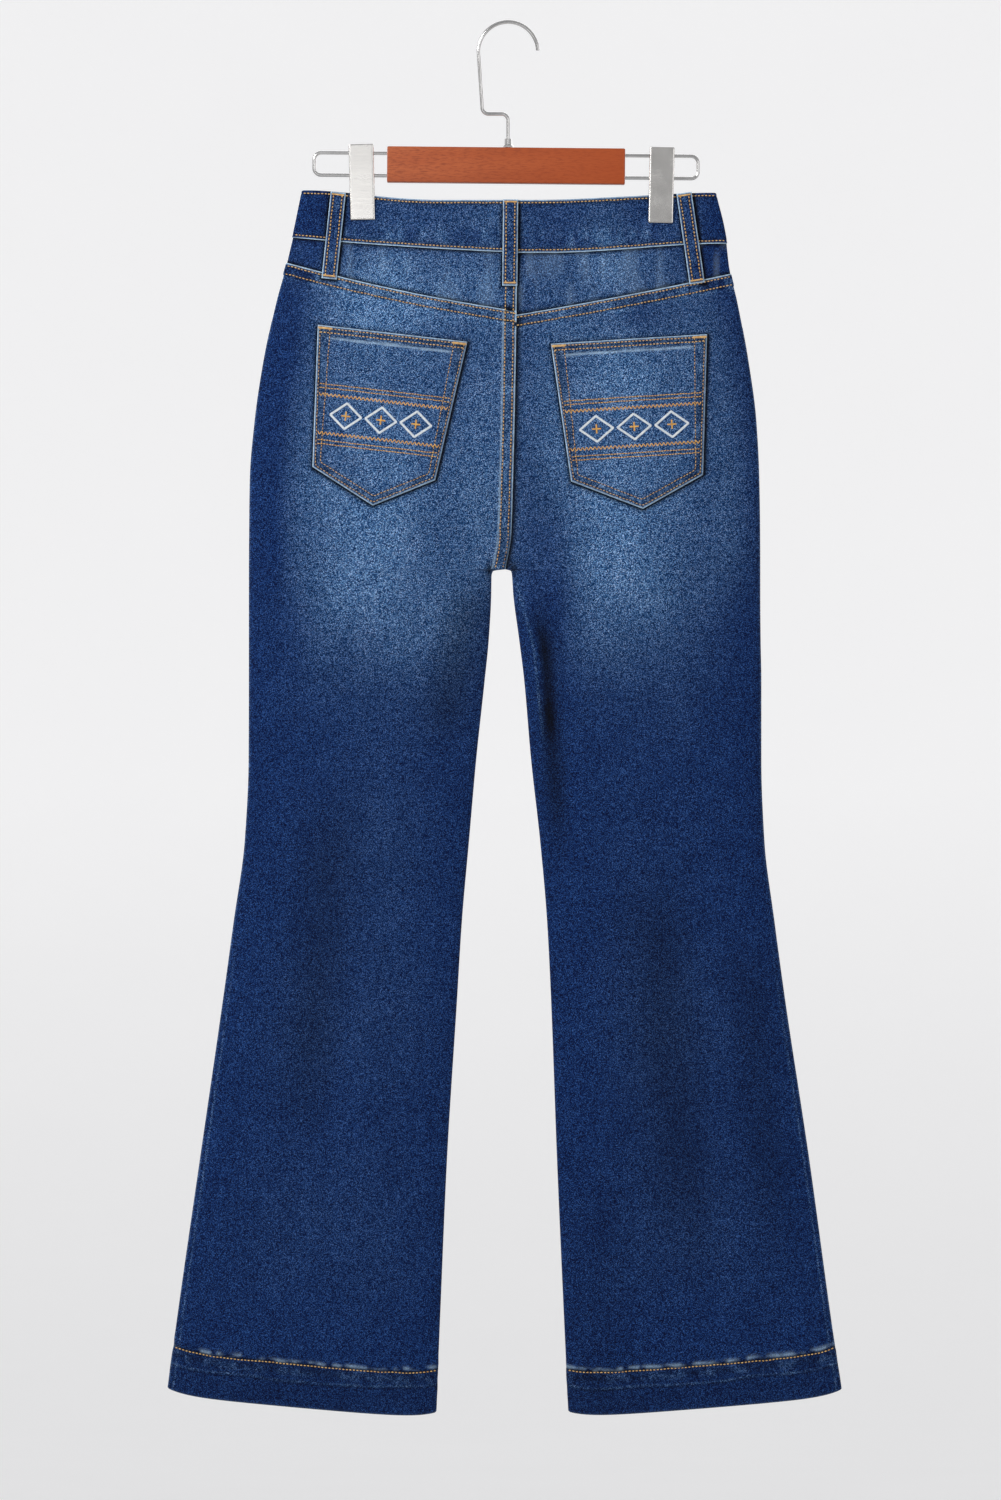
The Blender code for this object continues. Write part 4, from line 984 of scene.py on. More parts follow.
def leg_panel(face, side):
    at = leg_places(face, side)
    hem_round = 1.0 - ease(at.above_edge / 1.1)
    relief = leg_relief(face, side, at)
    thickness = np.where(at.above_edge < HEM_DEPTH, HEM_DENIM, DENIM) - 0.7 * hem_round
    outer = surface(side, face, at.share, at.drop, relief - 0.8 * hem_round)
    inner = surface(side, face, at.share, at.drop, -thickness)
    softened(outer, side, face, at, relief)
    softened(inner, side, face, at, -thickness)
    # A seam's under edge runs on beneath the edge above it.
    if face == FRONT:
        for grid in (outer, inner):
            grid[0, :, 2] += TUCK * (at.share[0] > SCOOP_SHARE)
        outer[0, :, 1] -= face * 0.2
    if side == RIGHT:
        under = ease((CROTCH_DROP - 6.0 - at.drop[:, -1]) / 10.0)
        for grid in (outer, inner):
            grid[:, -1, 0] -= TUCK * under
        outer[:, -1, 1] -= face * 0.15 * under
    cloth = np.stack([grain_across(side, at.share, at.drop), at.drop], axis=-1)
    shade = beside(side, at.x, at.drop) if face == BACK else None
    shell(f"{FACE_NAME[face]}_leg_{SIDE_NAME[side]}", outer, inner, leg_wear_and_shade(face, side, at), cloth, shade)


YOKE_ROWS = lines((0.0, 1.6, 0.8), (1.6, 4.6, 0.6), (4.6, 10.6, 1.5))  # from either edge
YOKE_LEVEL = 215.0
YOKE_MIDDLE_ROWS = 10


def yoke(side):
    share = row_shares(side, YOKE_LEVEL)
    top = seam_drop(WAIST_SEAM[BACK, side], share) - TUCK
    low = seam_drop(YOKE_SEAM[BACK, side], share) + TUCK
    middle = np.linspace(0.0, 1.0, YOKE_MIDDLE_ROWS + 2)[1:-1, None]
    ends = YOKE_ROWS[:, None]
    middle = top + ends[-1] + (low - top - 2 * ends[-1]) * middle
    drop = np.concatenate([top + ends, middle, low - ends[::-1]])
    share = np.broadcast_to(share, drop.shape)
    to_centre = (1.0 - share) * half_width(side, drop)
    x = x_at(side, share, drop)
    out = centre_fell(side, to_centre, drop) - 0.12 * (np.minimum(low - drop, drop - top) < 0.7)
    out = out + puckers(np.abs(low - drop), x, 64, 7.0) + puckers(np.abs(drop - top), x, 65, 7.0)
    outer = surface(side, BACK, share, drop, out)
    inner = surface(side, BACK, share, drop, -DENIM)
    if side == RIGHT:
        for grid in (outer, inner):
            grid[:, -1, 0] -= TUCK
        outer[:, -1, 1] += 0.15
    streaks = value_noise(x, drop, 7.0, 26.0, 68)
    washed = wash(side, x, drop) * (0.98 + 0.16 * streaks)
    light = 0.10 * np.clip(streaks, 0.0, 1.0)
    # Painted shadow under the waistband and above the leg panel's felled edge.
    dark = bell(low - TUCK - drop, 2.3) + bell(drop - top - TUCK, 2.2)
    if side == LEFT:
        light += worn_edge(to_centre, EDGE_WIDTH, x, drop, 43) * CENTRE_FADE
        gathered(washed, dark, to_centre, drop, 67, 0.85)
    else:
        # Painted shadow beside the left panel's overlapping centre seam.
        dark += 1.1 * bell(to_centre, 3.5)
    cloth = np.stack([grain_across(side, share, drop), drop + 37.0], axis=-1)
    wear_and_shade = wear_and_shade_of(washed, light, dark)
    shell(f"yoke_{SIDE_NAME[side]}", outer, inner, wear_and_shade, cloth, beside(side, x, drop))


BAND_MIDDLE = 172.0
BAND_ROWS = lines((0.0, 0.6, 0.2), (0.6, 3.6, 0.5), (3.6, 20.0, 1.8))  # from either edge
EDGE_ROWS = 3.6  # rows this near an edge keep their distance from it, and the rest are spread between
LAP_STARTS, LAP_RISE = 0.76, 0.14  # the stretch, as q, in which the front's left end climbs over the right


def lap_out(face, side, q):
    if face == BACK or side == RIGHT:
        return np.zeros_like(q)
    return LAP_OUT * ease((q - LAP_STARTS) / LAP_RISE)


def seam_past_centre(seams, face, side, share):
    here = seam_drop(seams[face, side], np.minimum(share, 1.0))
    there = seam_drop(seams[face, -side], np.minimum(2.0 - share, 1.0))
    return np.where(share > 1.0, there, here)


def past_centre(length, side, drop):
    width = abs(fold_x(side, drop) - rise_x(side, drop))
    return math.acos(-length / width) / (math.pi / 2)


def band_edge(out, distance):
    """The band's folded edges, rounded over their thickness."""
    middle = BAND_OUT - BAND_WALL / 2
    return middle + (out - middle) * np.maximum(edge_profile(distance, 1.0, 1.0), 0.12)


def band_wear_and_shade(side, share, x, drop, to_top, to_low):
    ridge = value_noise(x, drop, 3.8, 12.0, 73)
    creased = bell(to_low - 11.0, 9.0) * ease(share / 0.3)
    washed = wash(side, x, drop) * (0.9 + 0.75 * creased * ridge)
    washed += np.clip(ridge, 0.0, 1.0) * creased * 0.22
    light = worn_edge(to_low, EDGE_WIDTH, x, drop, 47) * 1.25 * (0.6 + 0.4 * ease(share / 0.1))
    light += worn_edge(to_top, 1.1, x, drop, 48) * 0.75 * ease((share - 0.2) / 0.2)
    # Painted shade just inside the band's rows of stitching.
    return wear_and_shade_of(washed, light, bell(np.minimum(to_top, to_low) - 3.6, 1.6) * 0.42)


def band_stretch(face, side, q):
    """One half of one face of the waistband: its outer and inner points, wear, drops and shade."""
    share = share_across(q, BAND_MIDDLE)[None, :]
    top = seam_past_centre(WAIST_TOP, face, side, share)
    low = seam_past_centre(WAIST_SEAM, face, side, share)
    fixed = BAND_ROWS[:, None]
    spread = (fixed - EDGE_ROWS) / (BAND_ROWS[-1] - EDGE_ROWS)
    from_edge = np.where(fixed <= EDGE_ROWS, fixed, EDGE_ROWS + spread * ((low - top) / 2 - EDGE_ROWS))
    drop = np.concatenate([top + from_edge, low - from_edge[-2::-1]])
    share = np.broadcast_to(share, drop.shape)
    near = np.minimum(drop - top, low - drop)
    x = x_at(side, share, drop)
    lap = lap_out(face, side, q)[None, :]
    quilt = 0.16 * value_noise(x, drop, 9.0, 14.0, 71 if face == BACK else 72) - 0.22 * bell(near - 2.6, 0.9)
    outer = surface(side, face, share, drop, band_edge(BAND_OUT, near) + quilt * ease(near / 3.0) + lap, 0.0)
    inner = surface(side, face, share, drop, band_edge(BAND_OUT - BAND_WALL, near) + lap, 0.0)
    shade = beside(side, x, drop) if face == BACK else np.zeros_like(drop)
    return outer, inner, band_wear_and_shade(side, share, x, drop, drop - top, low - drop), drop, shade


def waistband():
    """One strip round both faces, from its right end under the lap to its left end over it."""
    stretches = [
        band_stretch(FRONT, RIGHT, np.linspace(past_centre(UNDERLAP, RIGHT, BAND_MIDDLE), 0.0, 70)),
        band_stretch(BACK, RIGHT, np.linspace(0.0, 1.0, 84)[1:]),
        band_stretch(BACK, LEFT, np.linspace(1.0, 0.0, 84)[1:]),
        band_stretch(FRONT, LEFT, np.linspace(0.0, past_centre(OVERLAP, LEFT, BAND_MIDDLE), 70)[1:]),
    ]
    cloth, along = [], 0.0
    for outer, _, _, drop, _ in stretches:
        step = np.linalg.norm(np.diff(outer[len(drop) // 2], axis=0), axis=1)
        places = along + np.concatenate([[0.0], np.cumsum(step)])
        along = places[-1]
        cloth.append(np.stack(np.broadcast_arrays(places[None, :], drop), axis=-1))
    FLAT["waistband_cloth"] = (along, float(np.mean([np.ptp(part[..., 1]) for part in cloth])))
    outer, inner, wear_and_shade, _, shade = (np.concatenate(parts, axis=1) for parts in zip(*stretches))
    shell("waistband", outer, inner, wear_and_shade, np.concatenate(cloth, axis=1), shade)


def mix(a, b, t):
    return (1.0 - t) * np.asarray(a, float) + t * np.asarray(b, float)


# Places in what pocket_edges() gives.
TOP_EDGE, INNER_EDGE, LOW_INNER_EDGE, LOW_OUTER_EDGE, OUTER_EDGE = range(5)
AWAY_EDGE = {LEFT: INNER_EDGE, RIGHT: OUTER_EDGE}  # the one that faces away from the light


def pocket_edges(shape):
    """The pocket's straight edges, top first and then round from its inner side."""
    corners = [shape.top_outer, shape.top_inner, shape.low_inner, shape.tip, shape.low_outer]
    return [(np.array(a), np.array(b)) for a, b in zip(corners, corners[1:] + corners[:1])]


def signed_distance(x, drop, edge):
    a, b = edge
    direction = (b - a) / np.linalg.norm(b - a)
    return (drop - a[1]) * direction[0] - (x - a[0]) * direction[1]


def edge_distances(shape, x, drop):
    """How far inside each edge's line a point lies."""
    return [np.abs(signed_distance(x, drop, edge)) for edge in pocket_edges(shape)]


POCKET_LIFT = SEAM_GAP * 0.6


def pocket_out(shape, x, drop):
    """How far a back pocket's outer face stands off the panels' face, its edges rounded over."""
    distances = edge_distances(shape, x, drop)
    from_top = distances[TOP_EDGE]
    near, sewn = np.minimum.reduce(distances), np.minimum.reduce(distances[1:])
    out = POCKET_LIFT + edge_profile(near, PATCH_WALL, 1.0)
    ends = ease(np.minimum(distances[INNER_EDGE], distances[OUTER_EDGE]) / 30.0)
    out += 0.75 * ends * (1.0 - ease(from_top / 26.0))  # the mouth stands off a little
    out += 0.35 * (1.0 - ease((from_top - 9.5) / 1.6)) * ease(from_top)  # its turned hem
    out += 0.25 * (1.0 - ease((sewn - 8.5) / 2.0)) * ease(sewn)  # the turned edges inside
    out += 0.13 * value_noise(x, drop, 9.0, 9.0, 81) * ease(near / 4.0)
    return out


POCKET_WASH = {LEFT: (0.62, 0.86), RIGHT: (0.62, 0.98)}
POCKET_FADE = (0.86, 0.92, 0.86, 0.86, 0.92)  # how pale each edge is worn, with painted highlight on all but the edge that faces away from the light
AWAY_FADE = 0.60


def pocket_wear_and_shade(shape, side, x, drop):
    distances = edge_distances(shape, x, drop)
    from_top, sewn = distances[TOP_EDGE], np.minimum.reduce(distances[1:])
    washed = np.clip(wash(side, x, drop), *POCKET_WASH[side]) * (0.78 + 0.22 * ease(sewn / 22.0))
    washed *= 0.90 + 0.12 * value_noise(x, drop, 22.0, 26.0, 82)
    strength = list(POCKET_FADE)
    strength[AWAY_EDGE[side]] = AWAY_FADE
    light = np.maximum.reduce([worn_edge(d, 0.9, x, drop, 83) * s for d, s in zip(distances, strength)])
    light += worn_edge(from_top - 10.4, 1.0, x, drop, 85) * 0.46 * ease((sewn - 8.0) / 6.0)
    ripple = value_noise(x, drop, 6.0, 6.0, 86)
    between = ease((sewn - 1.0) / 1.5) * (1.0 - ease((sewn - 7.0) / 3.0))
    washed += np.clip(ripple, 0.0, 1.0) * 0.36 * between
    # Painted shade in the hollows between the gathers, along the stitching and under the top hem.
    dark = between * (0.26 - 0.2 * ripple) + bell(from_top - 4.2, 2.6) * 0.42
    dark += bell(from_top - 8.9, 0.9) * 0.35 + bell(sewn - 2.5, 0.9) * 0.3
    return wear_and_shade_of(washed, light, dark)


def back_pocket(side):
    shape = POCKETS[side]
    tip = abs(shape.tip[0] - shape.low_outer[0]) / abs(shape.low_inner[0] - shape.low_outer[0])
    rim = np.array([0.0, 0.2, 0.5, 1.0, 1.8, 3.0, 4.6, 6.6, 8.4, 9.4, 10.4, 11.6, 13.5]) / 128.0
    near_tip = np.array([-3.0, -1.2, 0.0, 1.2, 3.0]) / 128.0 + tip
    across = np.unique(np.concatenate([rim, 1.0 - rim, near_tip, np.linspace(rim[-1], 1.0 - rim[-1], 42)]))
    down = np.unique(np.concatenate([rim, 1.0 - rim, np.linspace(rim[-1], 1.0 - rim[-1], 46)]))
    u, v = across[None, :, None], down[:, None, None]
    low_outer = mix(shape.low_outer, shape.tip, np.clip(u / tip, 0, 1))
    low_inner = mix(shape.tip, shape.low_inner, np.clip((u - tip) / (1.0 - tip), 0, 1))
    flat = mix(mix(shape.top_outer, shape.top_inner, u), np.where(u < tip, low_outer, low_inner), v)
    x, drop = flat[..., 0], flat[..., 1]
    near = np.minimum.reduce(edge_distances(shape, x, drop))
    out = pocket_out(shape, x, drop)
    outer = surface_at(BACK, x, drop, out)
    inner = surface_at(BACK, x, drop, out - np.maximum(edge_profile(near, PATCH_WALL, 1.0), 0.06) - 0.25)
    cloth = np.stack([x + side * 300.0, drop + 1500.0], axis=-1)
    shell(f"back_pocket_{SIDE_NAME[side]}", outer, inner, pocket_wear_and_shade(shape, side, x, drop), cloth)


def pocket_facing(side):
    q = np.linspace(0.0, math.acos(1.0 - SCOOP_SHARE - 0.07) / (math.pi / 2), 40)
    share = share_across(q, 200.0)[None, :]
    seam = seam_drop(WAIST_SEAM[FRONT, side], share)
    top, low = seam - TUCK, seam + scoop_drop(share * 0.86) + 13.0
    drop = top + (low - top) * np.linspace(0.0, 1.0, 26)[:, None]
    share = np.broadcast_to(share, drop.shape)
    x = x_at(side, share, drop)
    bag = 0.25 * value_noise(x, drop, 20.0, 20.0, 91)
    sunk = -0.45 - DENIM * 0.4
    outer = surface(side, FRONT, share, drop, sunk + bag)
    inner = surface(side, FRONT, share, drop, sunk - FACING_WALL)
    # It lies under the panel below the scooped edge.
    mouth = panel_top(FRONT, side, share)
    for grid in (outer, inner):
        grid[..., 1] -= ease((drop - mouth + 1.0) / 2.0) * (DENIM - 0.2)
    # Painted shadow under the panel's scooped edge.
    wear_and_shade = wear_and_shade_of(0.10 + 0.4 * wash(side, x, drop), dark=0.55 * bell(mouth - drop, 3.0))
    cloth = np.stack([x + 900.0, drop + 300.0], axis=-1)
    shell(f"pocket_facing_{SIDE_NAME[side]}", outer, inner, wear_and_shade, cloth)


def fly_lap():
    u = np.unique(np.concatenate([[0.0, 0.01, 0.03], np.linspace(0.06, 0.94, 16), [0.97, 0.99, 1.0]]))
    top = WAIST_SEAM[FRONT, LEFT].centre - TUCK
    length = (FLY_SHORT + (FLY_LONG - FLY_SHORT) * np.sqrt(1.0 - (1.0 - u) ** 2) + TUCK)[None, :]
    down = np.unique(np.concatenate([np.linspace(0.0, 0.96, 40), [0.98, 0.993, 1.0]]))[:, None]
    drop = top + down * length
    x = np.broadcast_to(FLY_LEFT + (FLY_RIGHT - FLY_LEFT) * u[None, :], drop.shape)
    near = np.minimum.reduce([x - FLY_LEFT, FLY_RIGHT - x, top + length - drop])
    profile = edge_profile(near, PATCH_WALL, 1.1)
    out = FLY_LIFT + profile + 0.1 * value_noise(x, drop, 8.0, 9.0, 92)
    outer = surface_at(FRONT, x, drop, out)
    inner = surface_at(FRONT, x, drop, out - np.maximum(profile, 0.06) - 0.2)
    left, right = wash(LEFT, np.minimum(x, 6.0), drop), wash(RIGHT, np.maximum(x, 8.0), drop)
    light = worn_edge(near, 0.9, x, drop, 93) * 0.75
    # Painted shade between the rows of stitching.
    wear_and_shade = wear_and_shade_of(np.where(x < 7.0, left, right) * 0.8, light, 0.25 * bell(near - 5.0, 3.0))
    shell("fly_lap", outer, inner, wear_and_shade, np.stack([x + 1300.0, drop], axis=-1))


LOOP_STITCH = 3.7  # how far a loop's stitches are from its middle
LOOP_BELOW_BAND = 28.0  # how much of a loop lies below the band


def loop_course(loop, t):
    """A loop's middle line and its stand-off at each share of its length."""
    length = loop.drop_low - loop.drop_top
    band = 1.0 - LOOP_BELOW_BAND / length
    rest = SEAM_GAP + BAND_OUT * (1.0 - ease((t - band - 0.04) / 0.14))
    rest = rest + loop.low_lift * ease((t - 0.72) / 0.16)
    slack = LOOP_SLACK * ease(t / 0.25) * ease((0.86 - t) / 0.3)
    return loop.x_top + (loop.x_low - loop.x_top) * t, loop.drop_top + length * t, rest + slack


def loop_point(loop, t, across, out):
    """A point of a loop: t along it, across in millimetres, and out from its under face."""
    x, drop, rest = loop_course(loop, t)
    lean = (loop.x_low - loop.x_top) / (loop.drop_low - loop.drop_top)
    x, drop = np.broadcast_arrays(x + across, drop - across * lean)
    return surface_at(loop.face, x, drop, rest + out)


def belt_loop(name):
    loop = LOOPS[name]
    length = loop.drop_low - loop.drop_top
    ends = np.array([0.0, 0.25, 0.6, 1.2, 2.2]) / length
    t = np.unique(np.concatenate([ends, 1.0 - ends, np.linspace(ends[-1], 1.0 - ends[-1], 34)]))[:, None]
    across = LOOP_WIDTH * np.array([-0.5, -0.485, -0.455, -0.41, -0.33, -0.24, -0.14, 0.0])
    across = np.concatenate([across, -across[-2::-1]])[None, :]
    to_edge, to_end = LOOP_WIDTH / 2 - np.abs(across), np.minimum(t, 1.0 - t) * length
    round_edge = np.maximum(edge_profile(np.minimum(to_edge, to_end), 1.0, 0.9), 0.1)
    groove = 0.16 * bell(np.abs(across) - LOOP_STITCH, 0.8)
    x, drop, _ = loop_course(loop, t)
    x = x + across
    drop = np.broadcast_to(drop, x.shape)
    lumps = 0.16 * value_noise(x, drop, 5.0, 6.0, 101, 600.0)
    outer = loop_point(loop, t, across, LOOP_WALL * (0.35 + 0.65 * round_edge) - groove + lumps * round_edge)
    inner = loop_point(loop, t, across, LOOP_WALL * 0.35 * (1.0 - round_edge))
    side = LEFT if loop.x_top < 0 else RIGHT
    washed = wash(side, x, drop) * 0.75 + 0.06 * value_noise(x, drop, 4.0, 7.0, 102, 600.0) + 0.03
    light = worn_edge(to_edge, EDGE_WIDTH, x, drop, 103) * EDGE_FADE
    light += worn_edge(to_end, 1.0, x, drop, 104) * 0.9
    blotch = np.clip(value_noise(x, drop, 4.0, 6.0, 105, 600.0), 0.0, 1.0)
    washed += blotch * 0.34 * ease(to_edge - 3.4)
    # Painted shade along the stitch grooves.
    wear_and_shade = wear_and_shade_of(washed, light, bell(to_edge - 2.8, 1.0) * 0.55)
    FLAT[f"belt_loop_{name}_cloth"] = (LOOP_WIDTH, math.hypot(length, loop.x_low - loop.x_top) * 1.03)
    shell(f"belt_loop_{name}", outer, inner, wear_and_shade, np.stack([x + 1700.0, drop + 100.0], axis=-1))


# ---------------------------------------------------------------- sewing

STITCH_PITCH = 3.0
STITCH_LENGTH = 1.85
STITCH_RADIUS = 0.50
FINE_RADIUS = 0.34
TACK_RADIUS = 0.44
SUNK = 0.05  # how far a thread's place lies beneath the cloth's outermost face
STITCH_SIDES = 6
STITCH_RINGS = ((-1.0, 0.0), (-0.86, 0.62), (-0.45, 1.0), (0.45, 1.0), (0.86, 0.62), (1.0, 0.0))
STITCH_FLATNESS = 0.8
PIT_WIDTH, PIT_DEPTH = 0.72, 0.20


def stitch_template():
    """Points and faces of one stitch: a fat thread end to end along X, with radius 1."""
    points, rings = [], []
    for along, radius in STITCH_RINGS:
        if radius == 0:
            rings.append([len(points)] * STITCH_SIDES)
            points.append((along, 0.0, 0.0))
            continue
        rings.append(list(range(len(points), len(points) + STITCH_SIDES)))
        for k in range(STITCH_SIDES):
            angle = 2 * math.pi * k / STITCH_SIDES
            points.append((along, radius * math.cos(angle), radius * math.sin(angle)))
    faces = []
    for a, b in zip(rings, rings[1:]):
        for k in range(STITCH_SIDES):
            n = (k + 1) % STITCH_SIDES
            corners = list(dict.fromkeys([a[k], a[n], b[n], b[k]]))
            faces += [(corners[0], corners[j], corners[j + 1]) for j in range(1, len(corners) - 1)]
    return np.array(points), np.array(faces)


def unit(vectors):
    return vectors / np.linalg.norm(vectors, axis=1, keepdims=True)


class Sewing:
    """Gathers stitches, each with its two ends, outward direction and radius, and makes one mesh of them."""

    def __init__(self):
        self.stitches, self.holes = [], []

    def add(self, starts, ends, outs, radius, lift):
        """Adds stitches whose ends stand this far off the places given."""
        self.stitches.append((starts + outs * lift, ends + outs * lift, outs, np.full(len(starts), radius)))

    def threads(self):
        a, b, out, radius = (np.concatenate(part) for part in zip(*self.stitches))
        length = np.linalg.norm(b - a, axis=1, keepdims=True)
        along = (b - a) / length
        sideways = unit(np.cross(out, along))
        up = np.cross(along, sideways)
        radius = radius[:, None]
        shape, faces = stitch_template()
        points = (
            ((a + b) / 2)[:, None]
            + shape[None, :, 0:1] * (along * length / 2)[:, None]
            + shape[None, :, 1:2] * (sideways * radius)[:, None]
            + shape[None, :, 2:3] * (up * radius * STITCH_FLATNESS)[:, None]
        )
        offsets = np.arange(len(a))[:, None, None] * len(shape)
        return points.reshape(-1, 3), (faces[None] + offsets).reshape(-1, 3)

    def pits(self, first):
        """Painted shade at the pulled-in places where the needle went through, as flat, near-black
        eight-sided beads.
        """
        centre, along, out, size = (np.concatenate(part) for part in zip(*self.holes))
        long, wide, deep = along * size, np.cross(out, along) * PIT_WIDTH, out * PIT_DEPTH
        corners = (centre + long, centre + wide, centre - long, centre - wide, centre + deep, centre - deep)
        sides = np.array([(k, (k + 1) % 4, 4) for k in range(4)] + [((k + 1) % 4, k, 5) for k in range(4)])
        offsets = first + np.arange(len(centre))[:, None, None] * 6
        return np.stack(corners, axis=1).reshape(-1, 3), (sides[None] + offsets).reshape(-1, 3)

    def make(self, name, finish, slot):
        points, triangles = self.threads()
        threads = len(triangles)
        mesh = bpy.data.meshes.new(name)
        mesh.materials.append(finish)
        if self.holes:
            pits, sides = self.pits(len(points))
            points, triangles = np.concatenate([points, pits]), np.concatenate([triangles, sides])
            mesh.materials.append(NEEDLE_HOLE_SHADE)
        mesh.from_pydata((points * MM).tolist(), [], triangles.tolist())
        mesh.polygons.foreach_set("material_index", (np.arange(len(triangles)) >= threads).astype(np.int32))
        mesh.shade_smooth()
        placed(link(bpy.data.objects.new(name, mesh)), slot)


def resampled(line, pitch):
    """Points at even steps along a line of (x, drop) points."""
    line = np.asarray(line, float)
    step = np.linalg.norm(np.diff(line, axis=0), axis=1)
    travelled = np.concatenate([[0.0], np.cumsum(step)])
    at = np.linspace(0.0, travelled[-1], max(int(travelled[-1] / pitch), 1) + 1)
    return np.stack([np.interp(at, travelled, line[:, k]) for k in range(2)], axis=1)


def outward(place, at, reach=0.8):
    """The cloth's outward direction at points (x, drop)."""
    x, drop = at[:, 0], at[:, 1]
    across = place(x + reach, drop) - place(x - reach, drop)
    down = place(x, drop + reach) - place(x, drop - reach)
    out = unit(np.cross(down, across))
    return out * np.sign(out[:, 1:2]) * np.sign(place(x, drop)[:, 1:2])


def sew(batch, place, line, pitch=STITCH_PITCH, length=STITCH_LENGTH, radius=STITCH_RADIUS, wander=0.14):
    """Lays stitches along a line of (x, drop). place(x, drop) gives the cloth's outer point there."""
    marks = resampled(line, pitch)
    marks = marks + np.random.default_rng(5 + len(marks)).normal(0.0, wander, marks.shape)
    middle, half = (marks[:-1] + marks[1:]) / 2, (marks[1:] - marks[:-1]) / 2 * (length / pitch)
    a, b = place(*(middle - half).T), place(*(middle + half).T)
    out = outward(place, middle)
    batch.add(a, b, out, radius, radius * 0.35)
    along = a[1:] - b[:-1]
    gap = np.linalg.norm(along, axis=1, keepdims=True)
    batch.holes.append(((a[1:] + b[:-1]) / 2 + out[1:] * PIT_DEPTH, along / gap, out[1:], gap / 2 + 0.35))


def zigzag(batch, place, start, end, step, count, radius, lift):
    """Stitches to and fro over a line of (x, drop), this step to each side."""
    marks = start + (end - start) * np.linspace(0, 1, count)[:, None]
    marks = marks + step * np.where(np.arange(count) % 2, 1.0, -1.0)[:, None]
    out = outward(place, (marks[:-1] + marks[1:]) / 2)
    batch.add(place(*marks[:-1].T), place(*marks[1:].T), out, radius, lift)


def bartack(batch, place, start, end, width=2.1, pitch=0.55):
    """Close zigzag over a short line of (x, drop)."""
    start, end = np.asarray(start, float), np.asarray(end, float)
    length = np.linalg.norm(end - start)
    across = np.array([start[1] - end[1], end[0] - start[0]]) / length * width / 2
    zigzag(batch, place, start, end, across, max(int(length / pitch), 4), TACK_RADIUS, 0.32)


def on_cloth(face, out):
    """A place function for stitches that stand this far off the panels' face."""
    return lambda x, drop: surface_at(face, x, drop, out)


def across_half(side, face, seams, offset, high=1.0):
    """A line of (x, drop) that follows a seam across one half, this far below it."""
    low = 0.004
    share = low + (high - low) * (1.0 - np.cos(np.linspace(0.0, 1.0, 90) * math.pi / 2))
    drop = seam_drop(seams[face, side], share) + offset
    return np.stack([x_at(side, share, drop), drop], axis=1)


BAND_STITCHES = ((WAIST_TOP, 2.6), (WAIST_SEAM, -2.6))
LAP_CLIMB_X = -68.0  # from here the front's left end rides up over the right
LAP_STITCH_X = float(rise_x(LEFT, BAND_MIDDLE)) + OVERLAP - 2.6
LAP_STITCH_DROPS = (162.6, 197.4)


def sew_climbing(batch, line):
    """A row on the front's left half, up over the lap and on to its end."""
    flat, climb = line[line[:, 0] < LAP_CLIMB_X], line[line[:, 0] >= LAP_CLIMB_X]
    share = share_at(LEFT, climb[:, 0], climb[:, 1])
    lift = lap_out(FRONT, LEFT, np.arccos(np.clip(1.0 - share, -1, 1)) / (math.pi / 2))

    def on_lap(x, drop):
        return surface_at(FRONT, x, drop, BAND_OUT - SUNK + np.interp(x, climb[:, 0], lift))

    sew(batch, on_cloth(FRONT, BAND_OUT - SUNK), flat)
    sew(batch, on_lap, climb)
    end_drop = climb[-1, 1]
    sew(batch, on_cloth(FRONT, BAND_OUT + LAP_OUT - SUNK), [climb[-1], (LAP_STITCH_X, end_drop - 0.4)])


def sew_waistband(batch):
    for side in (LEFT, RIGHT):
        for seams, offset in BAND_STITCHES:
            sew(batch, on_cloth(BACK, BAND_OUT - SUNK), across_half(side, BACK, seams, offset))
            if side == RIGHT:
                sew(batch, on_cloth(FRONT, BAND_OUT - SUNK), across_half(side, FRONT, seams, offset, 0.955))
            else:
                sew_climbing(batch, across_half(side, FRONT, seams, offset))
    lapped = on_cloth(FRONT, BAND_OUT + LAP_OUT - SUNK)
    sew(batch, lapped, [(LAP_STITCH_X, drop) for drop in LAP_STITCH_DROPS])


def sew_yoke_seam(batch):
    for side in (LEFT, RIGHT):
        for offset in (2.3, 9.2):
            sew(batch, on_cloth(BACK, FELL_RAISE + SUNK), across_half(side, BACK, YOKE_SEAM, offset))


def sew_centre(batch, face):
    """Two rows down the felled centre seam, from the waistband to the crotch."""
    start = 199.5 if face == BACK else 352.0
    drop = np.linspace(start, CROTCH_DROP - 1.0, 120)
    raised = FELL_RAISE + SUNK if face == BACK else 0.1
    for offset in (2.7, 9.6):
        narrowing = 1.0 - 0.12 * ease((drop - 430.0) / 40.0)
        line = np.stack([rise_x(LEFT, drop) - offset * narrowing, drop], axis=1)
        sew(batch, on_cloth(face, raised), line)


def meet(shape, edge_a, gap_a, edge_b, gap_b):
    """Where the lines of two of a pocket's edges, moved inside by their gaps, cross."""
    edges = pocket_edges(shape)
    middle = np.mean([a for a, _ in edges], axis=0)
    rows, values = [], []
    for (a, b), gap in ((edges[edge_a], gap_a), (edges[edge_b], gap_b)):
        direction = (b - a) / np.linalg.norm(b - a)
        normal = np.array([-direction[1], direction[0]])
        if np.dot(middle - a, normal) < 0:
            normal = -normal
        rows.append(normal)
        values.append(np.dot(normal, a) + gap)
    return np.linalg.solve(np.array(rows), np.array(values))


